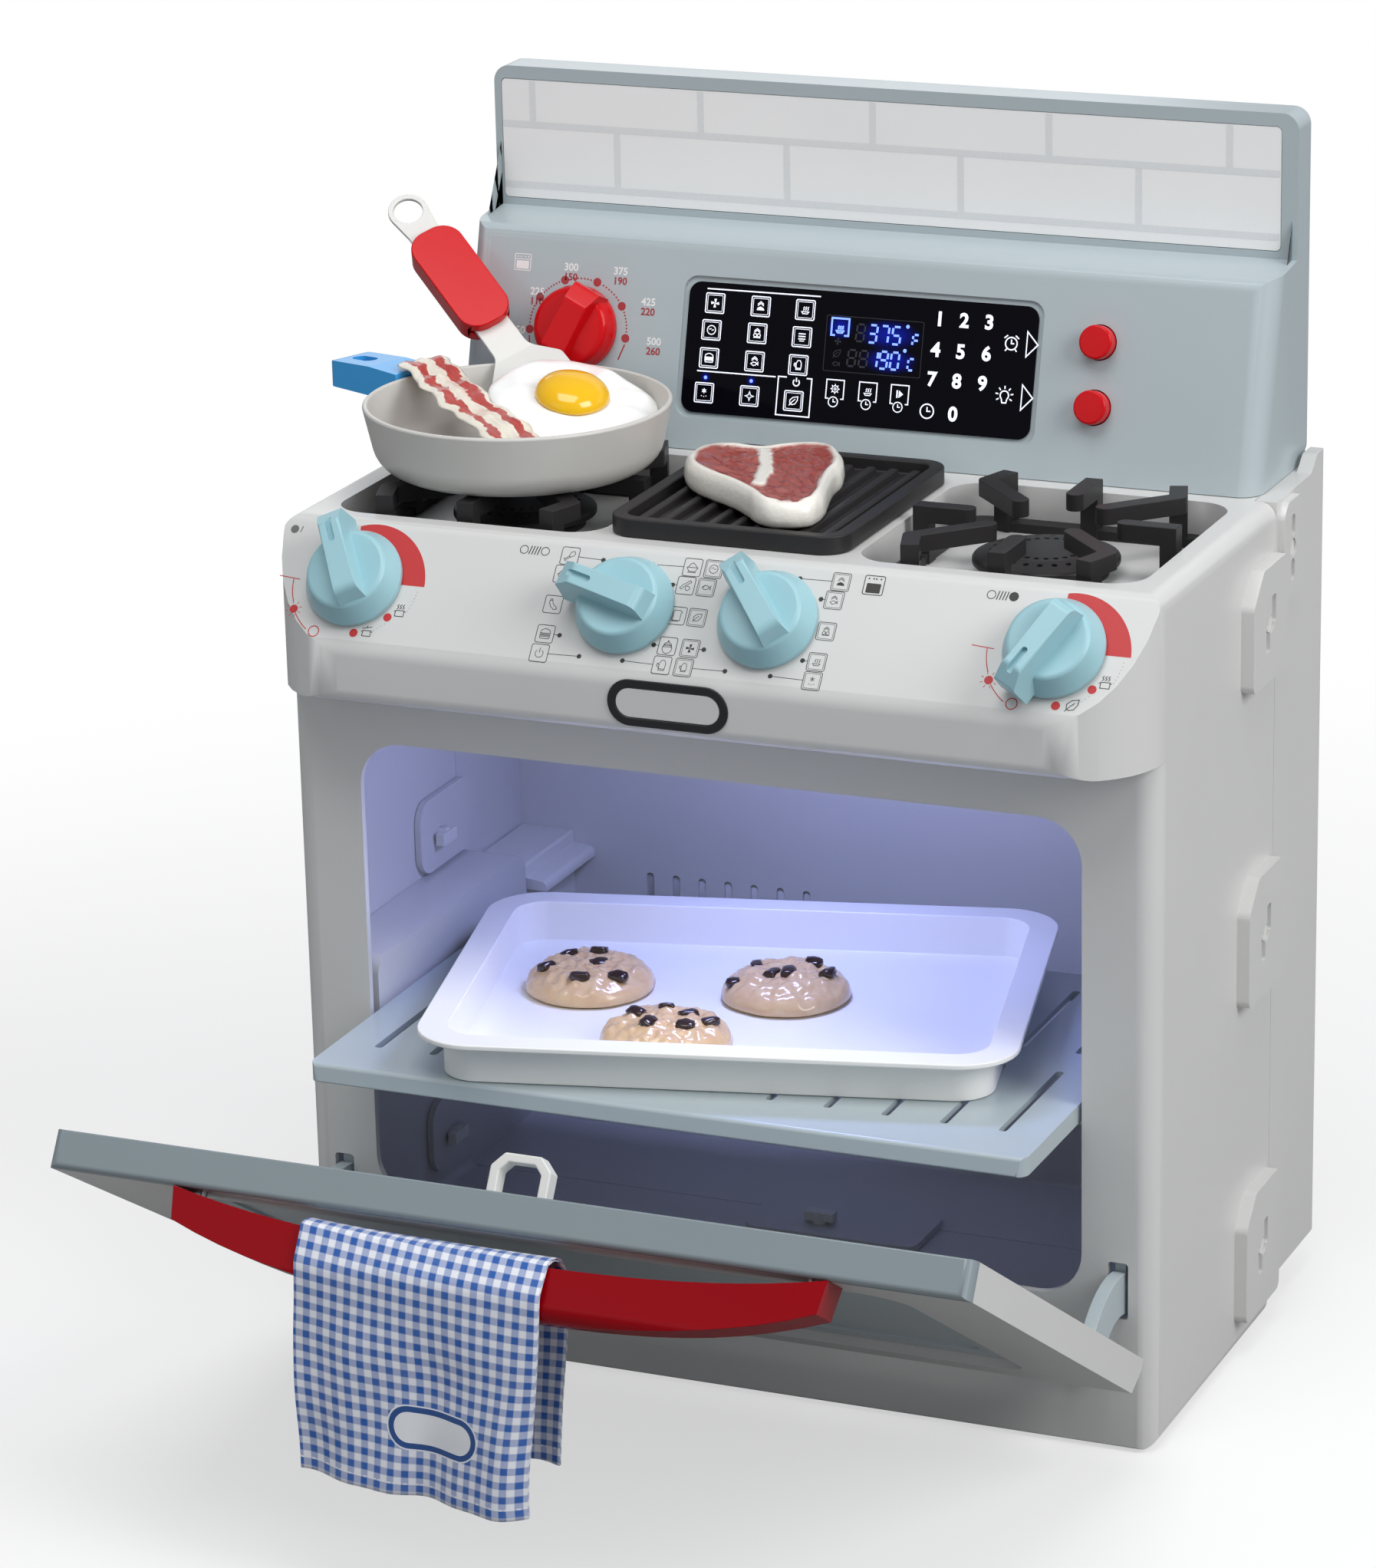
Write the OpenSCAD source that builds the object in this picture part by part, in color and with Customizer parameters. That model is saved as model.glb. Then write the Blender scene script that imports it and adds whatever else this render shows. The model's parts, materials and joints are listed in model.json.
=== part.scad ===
// Toy oven with cooktop, control panel, oven door, play pan, baking tray and play food.
// Millimetres. X runs across the front, the front faces -Y, +Z is up.
// The origin is the middle of the base footprint, on the floor.

/* [Cabinet] */
// Width of the cabinet
body_w = 480; // [460:2:500]
// Depth from the front face to the back
body_d = 276; // [272:1:284]
// Height of the cooktop deck above the floor
deck_z = 458; // [456:1:462]
// Thickness of the moulded walls
wall = 4; // [3.5:0.25:4.5]
// Depth of the front shell, up to the seam with the rear shell
front_d = 188; // [186:1:190]
// Height of the rear shell's underside above the floor
rear_lift = 21; // [19:1:23]
// Height of the rubber feet under the front shell
foot_h = 2; // [1.5:0.5:3]
// Radius of the upright front edges of the cabinet
edge_r = 12; // [8:1:14]

/* [Oven opening] */
// Width of the oven opening
opening_w = 400; // [398:1:404]
// Bottom of the oven opening
opening_z0 = 83; // [80:1:86]
// Top of the oven opening
opening_z1 = 340; // [338:1:342]
// Corner radius of the oven opening
opening_r = 24; // [16:1:30]

/* [Control panel] */
// How far the control panel stands out in front of the cabinet
nose_out = 37; // [34:1:38]
// Height of the control panel's lower edge
nose_z0 = 372; // [370:1:376]
// Height at which the panel starts to slope back
nose_z1 = 402; // [398:1:406]
// Distance from the front face to the top of the slope
nose_lip = 8; // [6:1:10]
// Corner radius of the control panel seen from above
nose_r = 48; // [40:1:54]

/* [Cooktop] */
// Width of each burner well
well_w = 152; // [148:1:154]
// Depth of each burner well, front to back
well_l = 158; // [154:1:160]
// Distance from the middle of the cooktop to a burner
burner_x = 146; // [145:0.5:147]
// Distance from the front face to the middle of the wells
burner_y = 99; // [97:1:100]
// Depth of the wells below the deck
well_h = 22; // [20:1:24]
// Diameter of the burner caps
cap_d = 76; // [70:1:80]
// Width of the griddle
griddle_w = 131; // [124:1:133]
// Length of the griddle, front to back
griddle_l = 158; // [150:1:160]

/* [Knobs and buttons] */
// Diameter of the burner knobs
knob_d = 52; // [48:1:54]
// Diameter of the oven temperature knob
dial_d = 46; // [42:1:50]
// Diameter of the push buttons
button_d = 18; // [16:0.5:20]
// Travel of the push buttons
button_travel = 4; // [3:0.5:4.5]

/* [Console] */
// Width of the console and the splashback
console_w = 458; // [450:2:462]
// Height of the top of the splashback above the floor
splash_z = 647; // [640:1:655]
// Lean of the console's face, in degrees from upright
lean = 15.2; // [12:0.2:17]
// Width of the display glass
glass_w = 199; // [190:1:204]
// Height of the display glass along the face
glass_h = 70; // [66:1:72]

/* [Door] */
// Width of the door
door_w = 484; // [480:1:486]
// Length of the door from its bottom end to its top end
door_l = 288; // [284:1:290]
// Thickness of the door
door_t = 19.2; // [18:0.2:20]
// Angle that the door stands open, in degrees from closed
door_open = 58; // [58:1:58]
// Distance of the hinge axis in front of the cabinet
hinge_y = 8; // [8:0.5:8.5]
// Height of the hinge axis
hinge_z = 47; // [46.5:0.5:47.5]
// Half the length of the door handle
handle_half = 172; // [166:1:176]

/* [Shelf and tray] */
// How far the shelf is pulled out in front of the cabinet
shelf_out = 78.6; // [76:0.2:80]
// Height of the top of the shelf
shelf_z = 188; // [187:0.5:189]
// Depth of the shelf, front to back
shelf_l = 262; // [258:1:264]
// Width of the baking tray over its rim
tray_w = 313; // [306:1:314]
// Depth of the baking tray over its rim
tray_l = 239; // [232:1:240]
// Height of the baking tray
tray_h = 25; // [22:1:26]
// Turn of the tray on the shelf, in degrees
tray_turn = 13.4; // [12:0.2:14]

/* [Pan and food] */
// Diameter of the pan over its rim
pan_d = 164; // [160:1:166]
// Height of the pan
pan_h = 36; // [34:1:37]
// Diameter of a cookie
cookie_d = 71; // [66:1:72]

/* [Towel] */
// Width of the folded towel
towel_w = 130; // [120:1:134]
// Length that the towel hangs down in front
towel_drop = 111; // [100:1:114]

/* [Hidden] */

$fn = 48;
front = -body_d / 2;
seam = front + front_d;
back = body_d / 2;
floor_z = rear_lift + wall;
eps = 0.01;
fit = 0.4;
seat = 0.2;
arc_step = 11.25;

shell_colour = "#e4e4e2";
blue_grey = "#98a4aa";
knob_blue = "#9fd3dd";
red_plastic = "#c8141c";
dark_grey = "#3a3838";

// The slope of the control panel, as a direction and the normal into the shell.
slope = [nose_lip + nose_out, deck_z - nose_z1];
slope_in = [slope.y, -slope.x] / norm(slope);
slope_angle = atan2(slope.y, slope.x);
knob_rise = 0.53;
knob_x = [-191, -39, 39, 191];
knob_turn = [28, 76, 40, 152];
dial_turn = -25;

// The console's face: its lower edge and the place of what sits on it.
face_y = front + 193;
face_z = 470;
face_l = 99.5;
dial_x = -161;
dial_up = 48;
glass_x = 2;
glass_up = 43;
button_x = 136;
button_up = [62, 28];

shelf_y = front - shelf_out;
shelf_w = opening_w - 4;
shelf_t = 10;
tray_at = [-8.3, front + 57.8];
pan_at = [-burner_x - 3, front + burner_y + 1];
grate_top = deck_z + 9;
cookie_at = [[-102, 67.6], [2.4, 89.9], [-30, 2]];

door_gap = 1.5;
door_z0 = 67.4;
door_z1 = door_z0 + door_l;
door_face = front - door_gap;
door_out = door_face - door_t;
handle_z = door_z1 - 12;
handle_gap = 13.5;
handle_deep = 39.5;
handle_end = 16.8;
handle_w = 22;
towel_x = -35;

// The spatula crosses the pan's rim here; its shaft leans out and its blade slopes into the pan.
spoon_at = [-183, front + 171.5, 506.7];
spoon_dir = 152.8;
spoon_rise = 35.3;
spoon_roll = -25.4;
blade_bend = 14;
blade_half_t = 1.2;
head_l = 52.5;

// Rounded polygon: each point is [x, y, radius].
function unit(v) = v / norm(v);
function soft_corner(a, p, b, r) =
    let (u = unit(a - p), v = unit(b - p), half = acos(max(-1, min(1, u * v))) / 2,
        c = p + unit(u + v) * r / sin(half), s = p + u * r / tan(half) - c,
        e = p + v * r / tan(half) - c, from = atan2(s.y, s.x),
        turn = ((atan2(e.y, e.x) - from + 540) % 360) - 180,
        n = max(1, ceil(abs(turn) / arc_step)))
    [for (i = [0:n]) c + r * [cos(from + turn * i / n), sin(from + turn * i / n)]];
function soft(pts) =
    let (n = len(pts), flat = [for (p = pts) [p[0], p[1]]])
    [for (i = [0:n - 1])
        each (pts[i][2] > 0
            ? soft_corner(flat[(i + n - 1) % n], flat[i], flat[(i + 1) % n], pts[i][2])
            : [flat[i]])];
function soft_box(w, l, r) = soft([[-w / 2, -l / 2, r], [w / 2, -l / 2, r], [w / 2, l / 2, r],
    [-w / 2, l / 2, r]]);
function span_box(x0, x1, y0, y1, r) = soft([[x0, y0, r], [x1, y0, r], [x1, y1, r], [x0, y1, r]]);

module along_x(x0, x1) translate([x0, 0, 0]) rotate([90, 0, 90]) linear_extrude(x1 - x0) children();
module along_y(y0, y1) translate([0, y1, 0]) rotate([90, 0, 0]) linear_extrude(y1 - y0) children();
module along_z(z0, z1) translate([0, 0, z0]) linear_extrude(z1 - z0) children();
module both_sides() {
    children();
    mirror([1, 0, 0]) children();
}
module rod(r, z0, z1) translate([0, 0, z0]) cylinder(r = r, h = z1 - z0);

// ---- Cabinet ----

function slope_z(t, y) = nose_z1 + (t - (y - front + nose_out) * slope_in.x) / slope_in.y;
function slope_y(t, z) = front - nose_out + (t - (z - nose_z1) * slope_in.y) / slope_in.x;

// Side profile of the front shell; t is the inset from the outer skin.
function shell_profile(t, z0, y1) = soft([
    [front + t, z0, 2],
    [y1, z0, 0],
    [y1, deck_z - t, 0],
    [slope_y(t, deck_z - t), deck_z - t, 8 - t],
    [front - nose_out + t, slope_z(t, front - nose_out + t), 14 - t],
    [front - nose_out + t, nose_z0 + t, 8 - t],
    [front + t, nose_z0 + t, 2]]);
function shell_plan(t) = soft([
    [-body_w / 2 + t, seam + 1, 0],
    [-body_w / 2 + t, front - nose_out + t, nose_r - t],
    [body_w / 2 - t, front - nose_out + t, nose_r - t],
    [body_w / 2 - t, seam + 1, 0]]);
function shell_front(t, z0) = span_box(-body_w / 2 + t, body_w / 2 - t, z0, deck_z - t, 9 - t);

module shell_skin(t, z0, y1) intersection() {
    along_x(-body_w / 2 + t, body_w / 2 - t) polygon(shell_profile(t, z0, y1));
    along_z(z0 - 1, deck_z + 1) polygon(shell_plan(t));
    along_y(front - nose_out - 1, y1 + 1) polygon(shell_front(t, z0));
}

// What the rounding takes off an upright front corner, below the panel.
module corner_cut() {
    x = body_w / 2 - edge_r;
    y = front + edge_r;
    along_z(-1, nose_z0) polygon(concat([[x, front - 1], [x + edge_r + 1, front - 1],
        [x + edge_r + 1, y]],
        [for (a = [0:-arc_step:-90]) [x + edge_r * cos(a), y + edge_r * sin(a)]]));
}

function well_outline(grow) = soft_box(well_w + 2 * grow, well_l + 2 * grow, 19 + grow);
module at_burner(side) translate([side * burner_x, front + burner_y, 0]) children();

module on_slope(x) translate([x, front - nose_out + slope.x * knob_rise,
    nose_z1 + slope.y * knob_rise]) rotate([slope_angle, 0, 0]) children();

// Outline of a clip plate on the side wall, as [y, z] from its middle.
function plate_outline(w, h, cut) = soft([[-w / 2, -h / 2, 5], [w / 2, -h / 2, 5], [w / 2, h / 2, 5],
    [-w / 2 + cut, h / 2, 6], [-w / 2, h / 2 - cut, 6]]);
plate_out = 7;
plate_w = 57;
side_plates = [[front + 159, 402, 62], [front + 157, 234, 68], [front + 158, 56, 70]];
rear_plate = [front + 205, 430, 52];
pin_r = 4.6;
vent_z = 170;
floor_pin = [-12, front + 168];

// One foot near each corner of the front shell, and one under the middle of the floor.
feet_at = concat([for (x = [-222, 222], y = [front + 20, seam - 18]) [x, y]], [[0, 0]]);

// The two half slots beside a twist pin, and the bore that the pin turns in.
module pin_seat() {
    translate([0, 0, -eps]) along_x(body_w / 2 + plate_out - 3, body_w / 2 + plate_out + 1) {
        translate([-4.6, -7]) polygon(soft_box(6.4, 15, 1.5));
        translate([4.6, 7]) polygon(soft_box(6.4, 15, 1.5));
    }
    rotate([0, 90, 0]) rod(pin_r + 0.3, body_w / 2 - 12, body_w / 2 + plate_out + 1);
}

module front_shell() color(shell_colour) difference() {
    union() {
        difference() {
            shell_skin(0, foot_h, seam);
            shell_skin(wall, floor_z, seam + 2);
            along_z(-1, rear_lift) difference() {
                polygon(span_box(-body_w / 2 + wall, body_w / 2 - wall, front + wall, seam + 1, 3));
                for (at = feet_at) translate(at) circle(r = 12);
            }
            both_sides() corner_cut();
        }
        for (s = [-1, 1]) at_burner(s) along_z(deck_z - well_h - 3, deck_z - 1) polygon(well_outline(3));
        translate([0, seam + 3, deck_z - wall / 2]) cube([body_w - 24, 10, wall], center = true);
        both_sides() for (p = side_plates) translate([0, p[0], p[1]])
            along_x(body_w / 2 - 1, body_w / 2 + plate_out) polygon(plate_outline(plate_w, p[2], 16));
    }
    for (s = [-1, 1]) at_burner(s) along_z(deck_z - well_h, deck_z + 1) polygon(well_outline(0));
    along_y(front - 1, front + wall + 1)
        polygon(span_box(-opening_w / 2, opening_w / 2, opening_z0, opening_z1, opening_r));
    both_sides() along_y(front - 1, front + wall + 1) polygon(span_box(214, 225, 73.5, 105, 2));
    for (x = knob_x) on_slope(x) rod(5.2, -wall - 3, 4);
    both_sides() for (p = side_plates) translate([0, p[0], p[1]]) pin_seat();
    translate([floor_pin.x, floor_pin.y, 0]) rod(pin_r + 0.3, rear_lift - 1, floor_z + 1);
    for (at = feet_at) translate(at) rod(3.2, 0, 12);
}

// Ears reach forward inside the front shell and take the twist pins.
module side_ear(p) translate([0, p[0], p[1]]) {
    root = seam + fit - p[0];
    difference() {
        along_x(body_w / 2 - wall - 4, body_w / 2 - wall - 0.4)
            polygon(span_box(-24, root + 10, -18, 24, 12));
        rotate([0, 90, 0]) rod(pin_r + 0.3, body_w / 2 - 12, body_w / 2);
    }
    translate([body_w / 2 - wall - 4, root, -14]) cube([5, 8, 34]);
}
module floor_ear() translate([floor_pin.x, floor_pin.y, 0]) {
    root = seam + fit - floor_pin.y;
    difference() {
        along_z(floor_z + 0.4, floor_z + 4) polygon(span_box(-40, 62, -18, root + 12, 8));
        rod(pin_r + 0.3, floor_z, floor_z + 5);
    }
    translate([-36, root, floor_z - 1]) cube([94, 8, 5]);
}
battery_x0 = -body_w / 2 + wall + 0.4;
battery_x1 = -203;
battery_z = [150, 204];
battery_y0 = front + 205;

module rear_shell() color(shell_colour) difference() {
    union() {
        difference() {
            intersection() {
                along_x(-body_w / 2, body_w / 2) polygon(soft([[seam + fit, rear_lift, 0],
                    [back, rear_lift, 5], [back, deck_z + 8, 5], [back - 18, deck_z + 8, 5],
                    [back - 28, deck_z, 5], [seam + fit, deck_z, 0]]));
                along_z(rear_lift - 1, deck_z + 10)
                    polygon(soft([[-body_w / 2, seam, 0], [body_w / 2, seam, 0],
                        [body_w / 2, back, 8], [-body_w / 2, back, 8]]));
            }
            along_x(-body_w / 2 + wall, body_w / 2 - wall)
                polygon(span_box(seam - 1, back - wall, floor_z, deck_z - 2 * wall, 2));
            translate([0, back - 14, deck_z + 5 + eps])
                cube([body_w - 16, 30, 10], center = true);
            translate([0, seam + 4.4, deck_z - wall / 2 + 1])
                cube([body_w - 23, 8.2, wall + 2.4], center = true);
        }
        both_sides() for (p = side_plates) side_ear(p);
        floor_ear();
        both_sides() translate([0, rear_plate[0], rear_plate[1]])
            along_x(body_w / 2 - 1, body_w / 2 + plate_out - 3) polygon(plate_outline(30, rear_plate[2], 6));
    }
    both_sides() translate([0, rear_plate[0], rear_plate[1]]) {
        along_x(body_w / 2 + plate_out - 6, body_w / 2 + plate_out) for (s = [-1, 1])
            translate([0, s * 12]) polygon(soft_box(6, 12, 2.9));
        rotate([0, 90, 0]) rod(pin_r + 0.3, body_w / 2 - 12, body_w / 2 + plate_out);
    }
    along_y(back - wall - 1, back + 1)
        polygon(span_box(battery_x0 + 3, battery_x1 - 3, battery_z[0] + 3, battery_z[1] - 3, 3));
    for (i = [0:6]) along_y(back - wall - 1, back + 1) translate([-156 + 16 * i, vent_z])
        polygon(soft_box(4.6, 26, 2.2));
}

module rubber_feet() color("#2b2b2b")
    for (at = feet_at) translate(at) {
        rod(9, 0, foot_h);
        rod(3, foot_h - eps, 10);
    }

// Twist-lock pins: a round stem, a bar head inside and a rounded cap outside.
module twist_pin(out) rotate([0, 90, 0]) {
    rod(pin_r, body_w / 2 - wall - 9, body_w / 2 + out);
    translate([0, 0, body_w / 2 - wall - 8]) cube([7, 17, 5], center = true);
}
module twist_pins() color("#d6d8d8") {
    both_sides() for (p = side_plates) translate([0, p[0], p[1]]) twist_pin(plate_out - 1);
    both_sides() translate([0, rear_plate[0], rear_plate[1]]) twist_pin(plate_out - 4);
    translate([floor_pin.x, floor_pin.y, 0]) {
        rod(pin_r, rear_lift - 2, floor_z + 10);
        translate([0, 0, floor_z + 8]) cube([17, 7, 5], center = true);
    }
}

// ---- Cooktop ----

finger_w = 9.5;
finger_t = 9;
frame_t = 5;
well_floor = deck_z - well_h;

// A finger of the grate: a post on the frame, then an arm along a path seen from above.
module finger(path) {
    reach = unit(path[1] - path[0]);
    side = [-reach.y, reach.x] * finger_w / 2;
    along_z(well_floor + seat, grate_top) polygon([path[0] - side, path[0] + side,
        path[0] + side + reach * 9, path[0] - side + reach * 9]);
    along_z(grate_top - finger_t, grate_top) for (i = [0:len(path) - 2]) {
        d = unit(path[i + 1] - path[i]);
        n = [-d.y, d.x] * finger_w / 2;
        polygon([path[i] - n, path[i] + n, path[i + 1] + n, path[i + 1] - n]);
        translate(path[i + 1]) circle(r = finger_w / 2);
    }
}

module grate(side) color(dark_grey) at_burner(side) {
    edge_x = well_w / 2 - 3;
    edge_y = well_l / 2 - 3;
    along_z(well_floor + seat, well_floor + seat + frame_t) difference() {
        polygon(soft_box(2 * edge_x, 2 * edge_y, 16));
        polygon(soft_box(2 * edge_x - 20, 2 * edge_y - 20, 8));
    }
    for (s = [-1, 1]) {
        finger([[0, s * (edge_y - 2)], [0, s * 44]]);
        finger([[s * (edge_x - 2), 0], [s * 43, 0]]);
        for (m = [-1, 1])
            finger([[s * 46, m * (edge_y - 2)], [s * 52, m * 55], [s * 23, m * 24]]);
    }
}
module grate_left() grate(-1);
module grate_right() grate(1);

module burner_cap(side) color(dark_grey) at_burner(side) difference() {
    translate([0, 0, well_floor]) rotate_extrude() polygon(soft([[0, 0, 0], [cap_d / 2 - 6, 0, 0],
        [cap_d / 2 - 6, 5, 1], [cap_d / 2, 6, 1.2], [cap_d / 2, 10, 2], [24, 13, 4], [0, 13.5, 0]]));
    for (a = [0:15:345], r = [19, 28]) rotate(a + r) translate([r, 0, 0]) rod(1.5, well_floor + 8, deck_z);
}
module burner_cap_left() burner_cap(-1);
module burner_cap_right() burner_cap(1);

griddle_rim = 8;
module griddle() color(dark_grey) translate([0, front + burner_y, 0]) {
    difference() {
        along_z(deck_z + 0.2, deck_z + griddle_rim + 2) polygon(soft_box(griddle_w, griddle_l, 15));
        along_z(deck_z + 3, deck_z + 12)
            polygon(soft_box(griddle_w - 15, griddle_l - 15, 9));
    }
    for (i = [-4:4]) translate([i * 12.6, 0, deck_z + 3]) rotate([90, 0, 0])
        linear_extrude(griddle_l - 27, center = true)
            polygon(soft([[-3.6, -0.5, 0], [3.6, -0.5, 0], [2.2, 4.4, 1.6], [-2.2, 4.4, 1.6]]));
}

// ---- Knobs ----

// A bar grip along local +Y, its cross-section narrowing upward, ending in a pointer.
module bar_grip(tail, tip, low, high, w) intersection() {
    along_x(-w, w) polygon(soft([[tail, low, 0], [tail + 5, high - 1, 5], [tip - 9, high, 4],
        [tip, high - 7, 2.5], [tip - 1, low, 0]]));
    along_y(tail - 1, tip + 1) polygon(soft([[-w / 2 - 2.5, low - 1, 0], [w / 2 + 2.5, low - 1, 0],
        [w / 2 - 0.5, high, 1.8], [-w / 2 + 0.5, high, 1.8]]));
}

module burner_knob(i) color(knob_blue) on_slope(knob_x[i]) rotate(knob_turn[i]) difference() {
    union() {
        rotate_extrude() polygon(soft([[0, 0.6, 0], [knob_d / 2, 0.6, 0], [knob_d / 2 + 0.4, 3.6, 1],
            [knob_d / 2 - 2.6, 10, 4], [knob_d / 2 - 5, 15.5, 3], [0, 13.5, 0]]));
        bar_grip(-knob_d / 2 + 4, knob_d / 2 + 6, 4.5, 27, 12.5);
        rod(4.6, -16, 2);
    }
    translate([0, knob_d / 2 - 7, 26]) along_z(-1.6, 2) polygon(soft_box(3.4, 15, 1.6));
}
module burner_knob_1() burner_knob(0);
module burner_knob_2() burner_knob(1);
module burner_knob_3() burner_knob(2);
module burner_knob_4() burner_knob(3);

module bush(t) difference() {
    rod(9, -t - 7, -t - seat);
    rod(4.9, -t - 8, 0);
}
module knob_bushes() color("#d0d0cc") {
    for (x = knob_x) on_slope(x) bush(wall);
    on_face(dial_x, dial_up) bush(console_t);
}

// ---- Console ----

module on_face(x, up) translate([x, face_y, face_z]) rotate([90 - lean, 0, 0])
    translate([0, up, 0]) children();

face_top = [face_y + face_l * sin(lean), face_z + face_l * cos(lean)];
splash_y = front + 254;
console_back_y = back - 1;
console_t = 3;

function face_in(t, z) = face_y + t / cos(lean) + (z - face_z) * tan(lean);
function console_profile(t) = soft([
    [front + 190 + t, deck_z + fit - (t > 0 ? 2 : 0), 0],
    [face_in(t, face_z), face_z, t > 0 ? 0 : 2],
    [face_in(t, face_top.y - t), face_top.y - t, 9 - t],
    [splash_y + 8, face_top.y + 5 - t, 0],
    [splash_y + 8, deck_z + fit - (t > 0 ? 2 : 0), 0]]);

module console_block(t) intersection() {
    along_x(-console_w / 2 + t, console_w / 2 - t) polygon(console_profile(t));
    translate([0, face_y, face_z]) rotate([-lean, 0, 0]) along_z(-40, 140)
        polygon(span_box(-console_w / 2 + t, console_w / 2 - t, t, 150, 13 - t));
}

module console_housing() color(blue_grey) {
    console_shell();
    for (x = [-1, 1], u = [-1, 1]) on_face(glass_x + x * (glass_w / 2 + 2), glass_up + u * 22)
        rod(2.6, -14.4 + seat, -2.9);
}
module console_shell() difference() {
    union() {
        console_block(0);
        along_y(splash_y, console_back_y - 3)
            polygon(soft([[-console_w / 2, deck_z + fit, 0], [console_w / 2, deck_z + fit, 0],
                [console_w / 2, splash_z, 9], [-console_w / 2, splash_z, 9]]));
    }
    console_block(console_t);
    along_y(splash_y + 4, back)
        polygon(span_box(-console_w / 2 + 3, console_w / 2 - 3, deck_z - 4, splash_z - 3, 6));
    translate([0, splash_y + 2, deck_z + 46]) cube([console_w - 6, 20, 100], center = true);
    along_y(splash_y - 1, splash_y + 2.2)
        polygon(span_box(-console_w / 2 + 4, console_w / 2 - 9, 574, splash_z - 7, 3));
    on_face(glass_x, glass_up) {
        along_z(-1.6, 2) polygon(soft([[-glass_w / 2 - 3, -glass_h / 2 - 3, 8],
            [glass_w / 2 + 3, -glass_h / 2 - 3, 8], [glass_w / 2 + 3, glass_h / 2 + 3, 8],
            [-glass_w / 2 - 3, glass_h / 2 + 3, 8]]));
        along_z(-5, 0) polygon(soft_box(glass_w - 8, glass_h - 8, 2));
    }
    on_face(dial_x, dial_up) rod(5.2, -5, 2);
    for (u = button_up) on_face(button_x, u) rod(button_d / 2 + 0.5, -5, 2);
}

module console_back() color(blue_grey) difference() {
    along_y(console_back_y - 2.8, console_back_y)
        polygon(span_box(-console_w / 2, console_w / 2, deck_z + fit, splash_z, 9));
    for (i = [-3:3], j = [-3:3]) if (norm([i, j]) < 3.3) translate([120 + 6 * i, 0, 512 + 6 * j])
        rotate([90, 0, 0]) rod(1.6, -console_back_y - 1, -console_back_y + 4);
}

module tile_panel() color("#f1f1f0") along_y(splash_y + 0.2, splash_y + 2.1)
    polygon(span_box(-console_w / 2 + 4.3, console_w / 2 - 9.3, 574.3, splash_z - 7.3, 2.7));

module display_glass() color("#060512") on_face(glass_x, glass_up)
    along_z(-1.5, -0.2) polygon(soft_box(glass_w, glass_h, 7));

module circuit_board() color("#2f6b3c") {
    on_face(glass_x, glass_up) along_z(-16, -14.4) polygon(soft_box(glass_w + 12, glass_h - 8, 2));
    on_face(button_x, (button_up[0] + button_up[1]) / 2) along_z(-16, -14.4)
        polygon(soft_box(64, 60, 2));
    for (u = button_up) on_face(button_x, u) along_z(-14.5, -11.2) polygon(soft_box(7, 7, 0.5));
    on_face(glass_x + glass_w / 2 - 5, glass_up) along_z(-16, -14.4) polygon(soft_box(24, 30, 2));
}

module speaker() color("#333333") translate([120, console_back_y - 2.8 - seat, 512]) rotate([90, 0, 0])
    rotate_extrude() polygon([[0, 0], [24, 0], [24, 3], [12, 9], [12, 13], [0, 13]]);

module oven_dial() color(red_plastic) on_face(dial_x, dial_up) rotate(dial_turn) {
    rotate_extrude() polygon(soft([[0, 0.6, 0], [dial_d / 2, 0.6, 0], [dial_d / 2, 4, 1],
        [dial_d / 2 - 2, 13, 4], [0, 15, 0]]));
    bar_grip(-dial_d / 2 + 1.5, dial_d / 2 + 0.5, 4, 21, 15);
    rod(4.6, -16, 2);
}

module push_button(i) color(red_plastic) on_face(button_x, button_up[i]) rotate_extrude()
    polygon(soft([[0, -6.5, 0], [button_d / 2 + 1.5, -6.5, 0], [button_d / 2 + 1.5, -4.2, 0],
        [button_d / 2, -4.2, 0], [button_d / 2, 8, 1.4], [0, 8.4, 0]]));
module button_upper() push_button(0);
module button_lower() push_button(1);

// ---- Inside the cabinet ----

battery_y1 = back - wall - 0.2;
module battery_box() color("#d9dad8") difference() {
    along_y(battery_y0, battery_y1) polygon(soft([[battery_x0, battery_z[0], 1],
        [battery_x1, battery_z[0], 1], [battery_x1, 189.5, 0], [battery_x1 + 13, 189.5, 0],
        [battery_x1 + 13, 195, 4], [battery_x1, 196.5, 0], [battery_x1, battery_z[1], 2],
        [battery_x0, battery_z[1], 1]]));
    along_y(battery_y0 + 2.5, back)
        polygon(span_box(battery_x0 + 2.5, battery_x1 - 2.5, battery_z[0] + 2.5, battery_z[1] - 2.5, 1));
}
cell_r = 7.2;
module batteries() color("#3b6ea8") for (i = [0:2])
    translate([battery_x0 + 2.5 + cell_r + seat, battery_y0 + 5,
        battery_z[0] + 2.5 + seat + cell_r + i * (2 * cell_r + seat)]) rotate([-90, 0, 0]) {
            rod(cell_r, 0, 49);
            rod(2.6, 49 - eps, 50.5);
        }
module battery_cover() color(shell_colour) along_y(back - 3, back - 0.6)
    polygon(span_box(battery_x0 + 3.4, battery_x1 - 3.4, battery_z[0] + 3.4, battery_z[1] - 3.4, 2.6));

module oven_lamp() color("#cfd6f2") translate([0, front + 100, 0]) {
    along_z(deck_z - wall - 4, deck_z - wall - 0.2) polygon(soft_box(86, 46, 6));
    along_z(deck_z - wall - 14, deck_z - wall - 3.9) polygon(soft_box(76, 36, 10));
}

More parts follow.
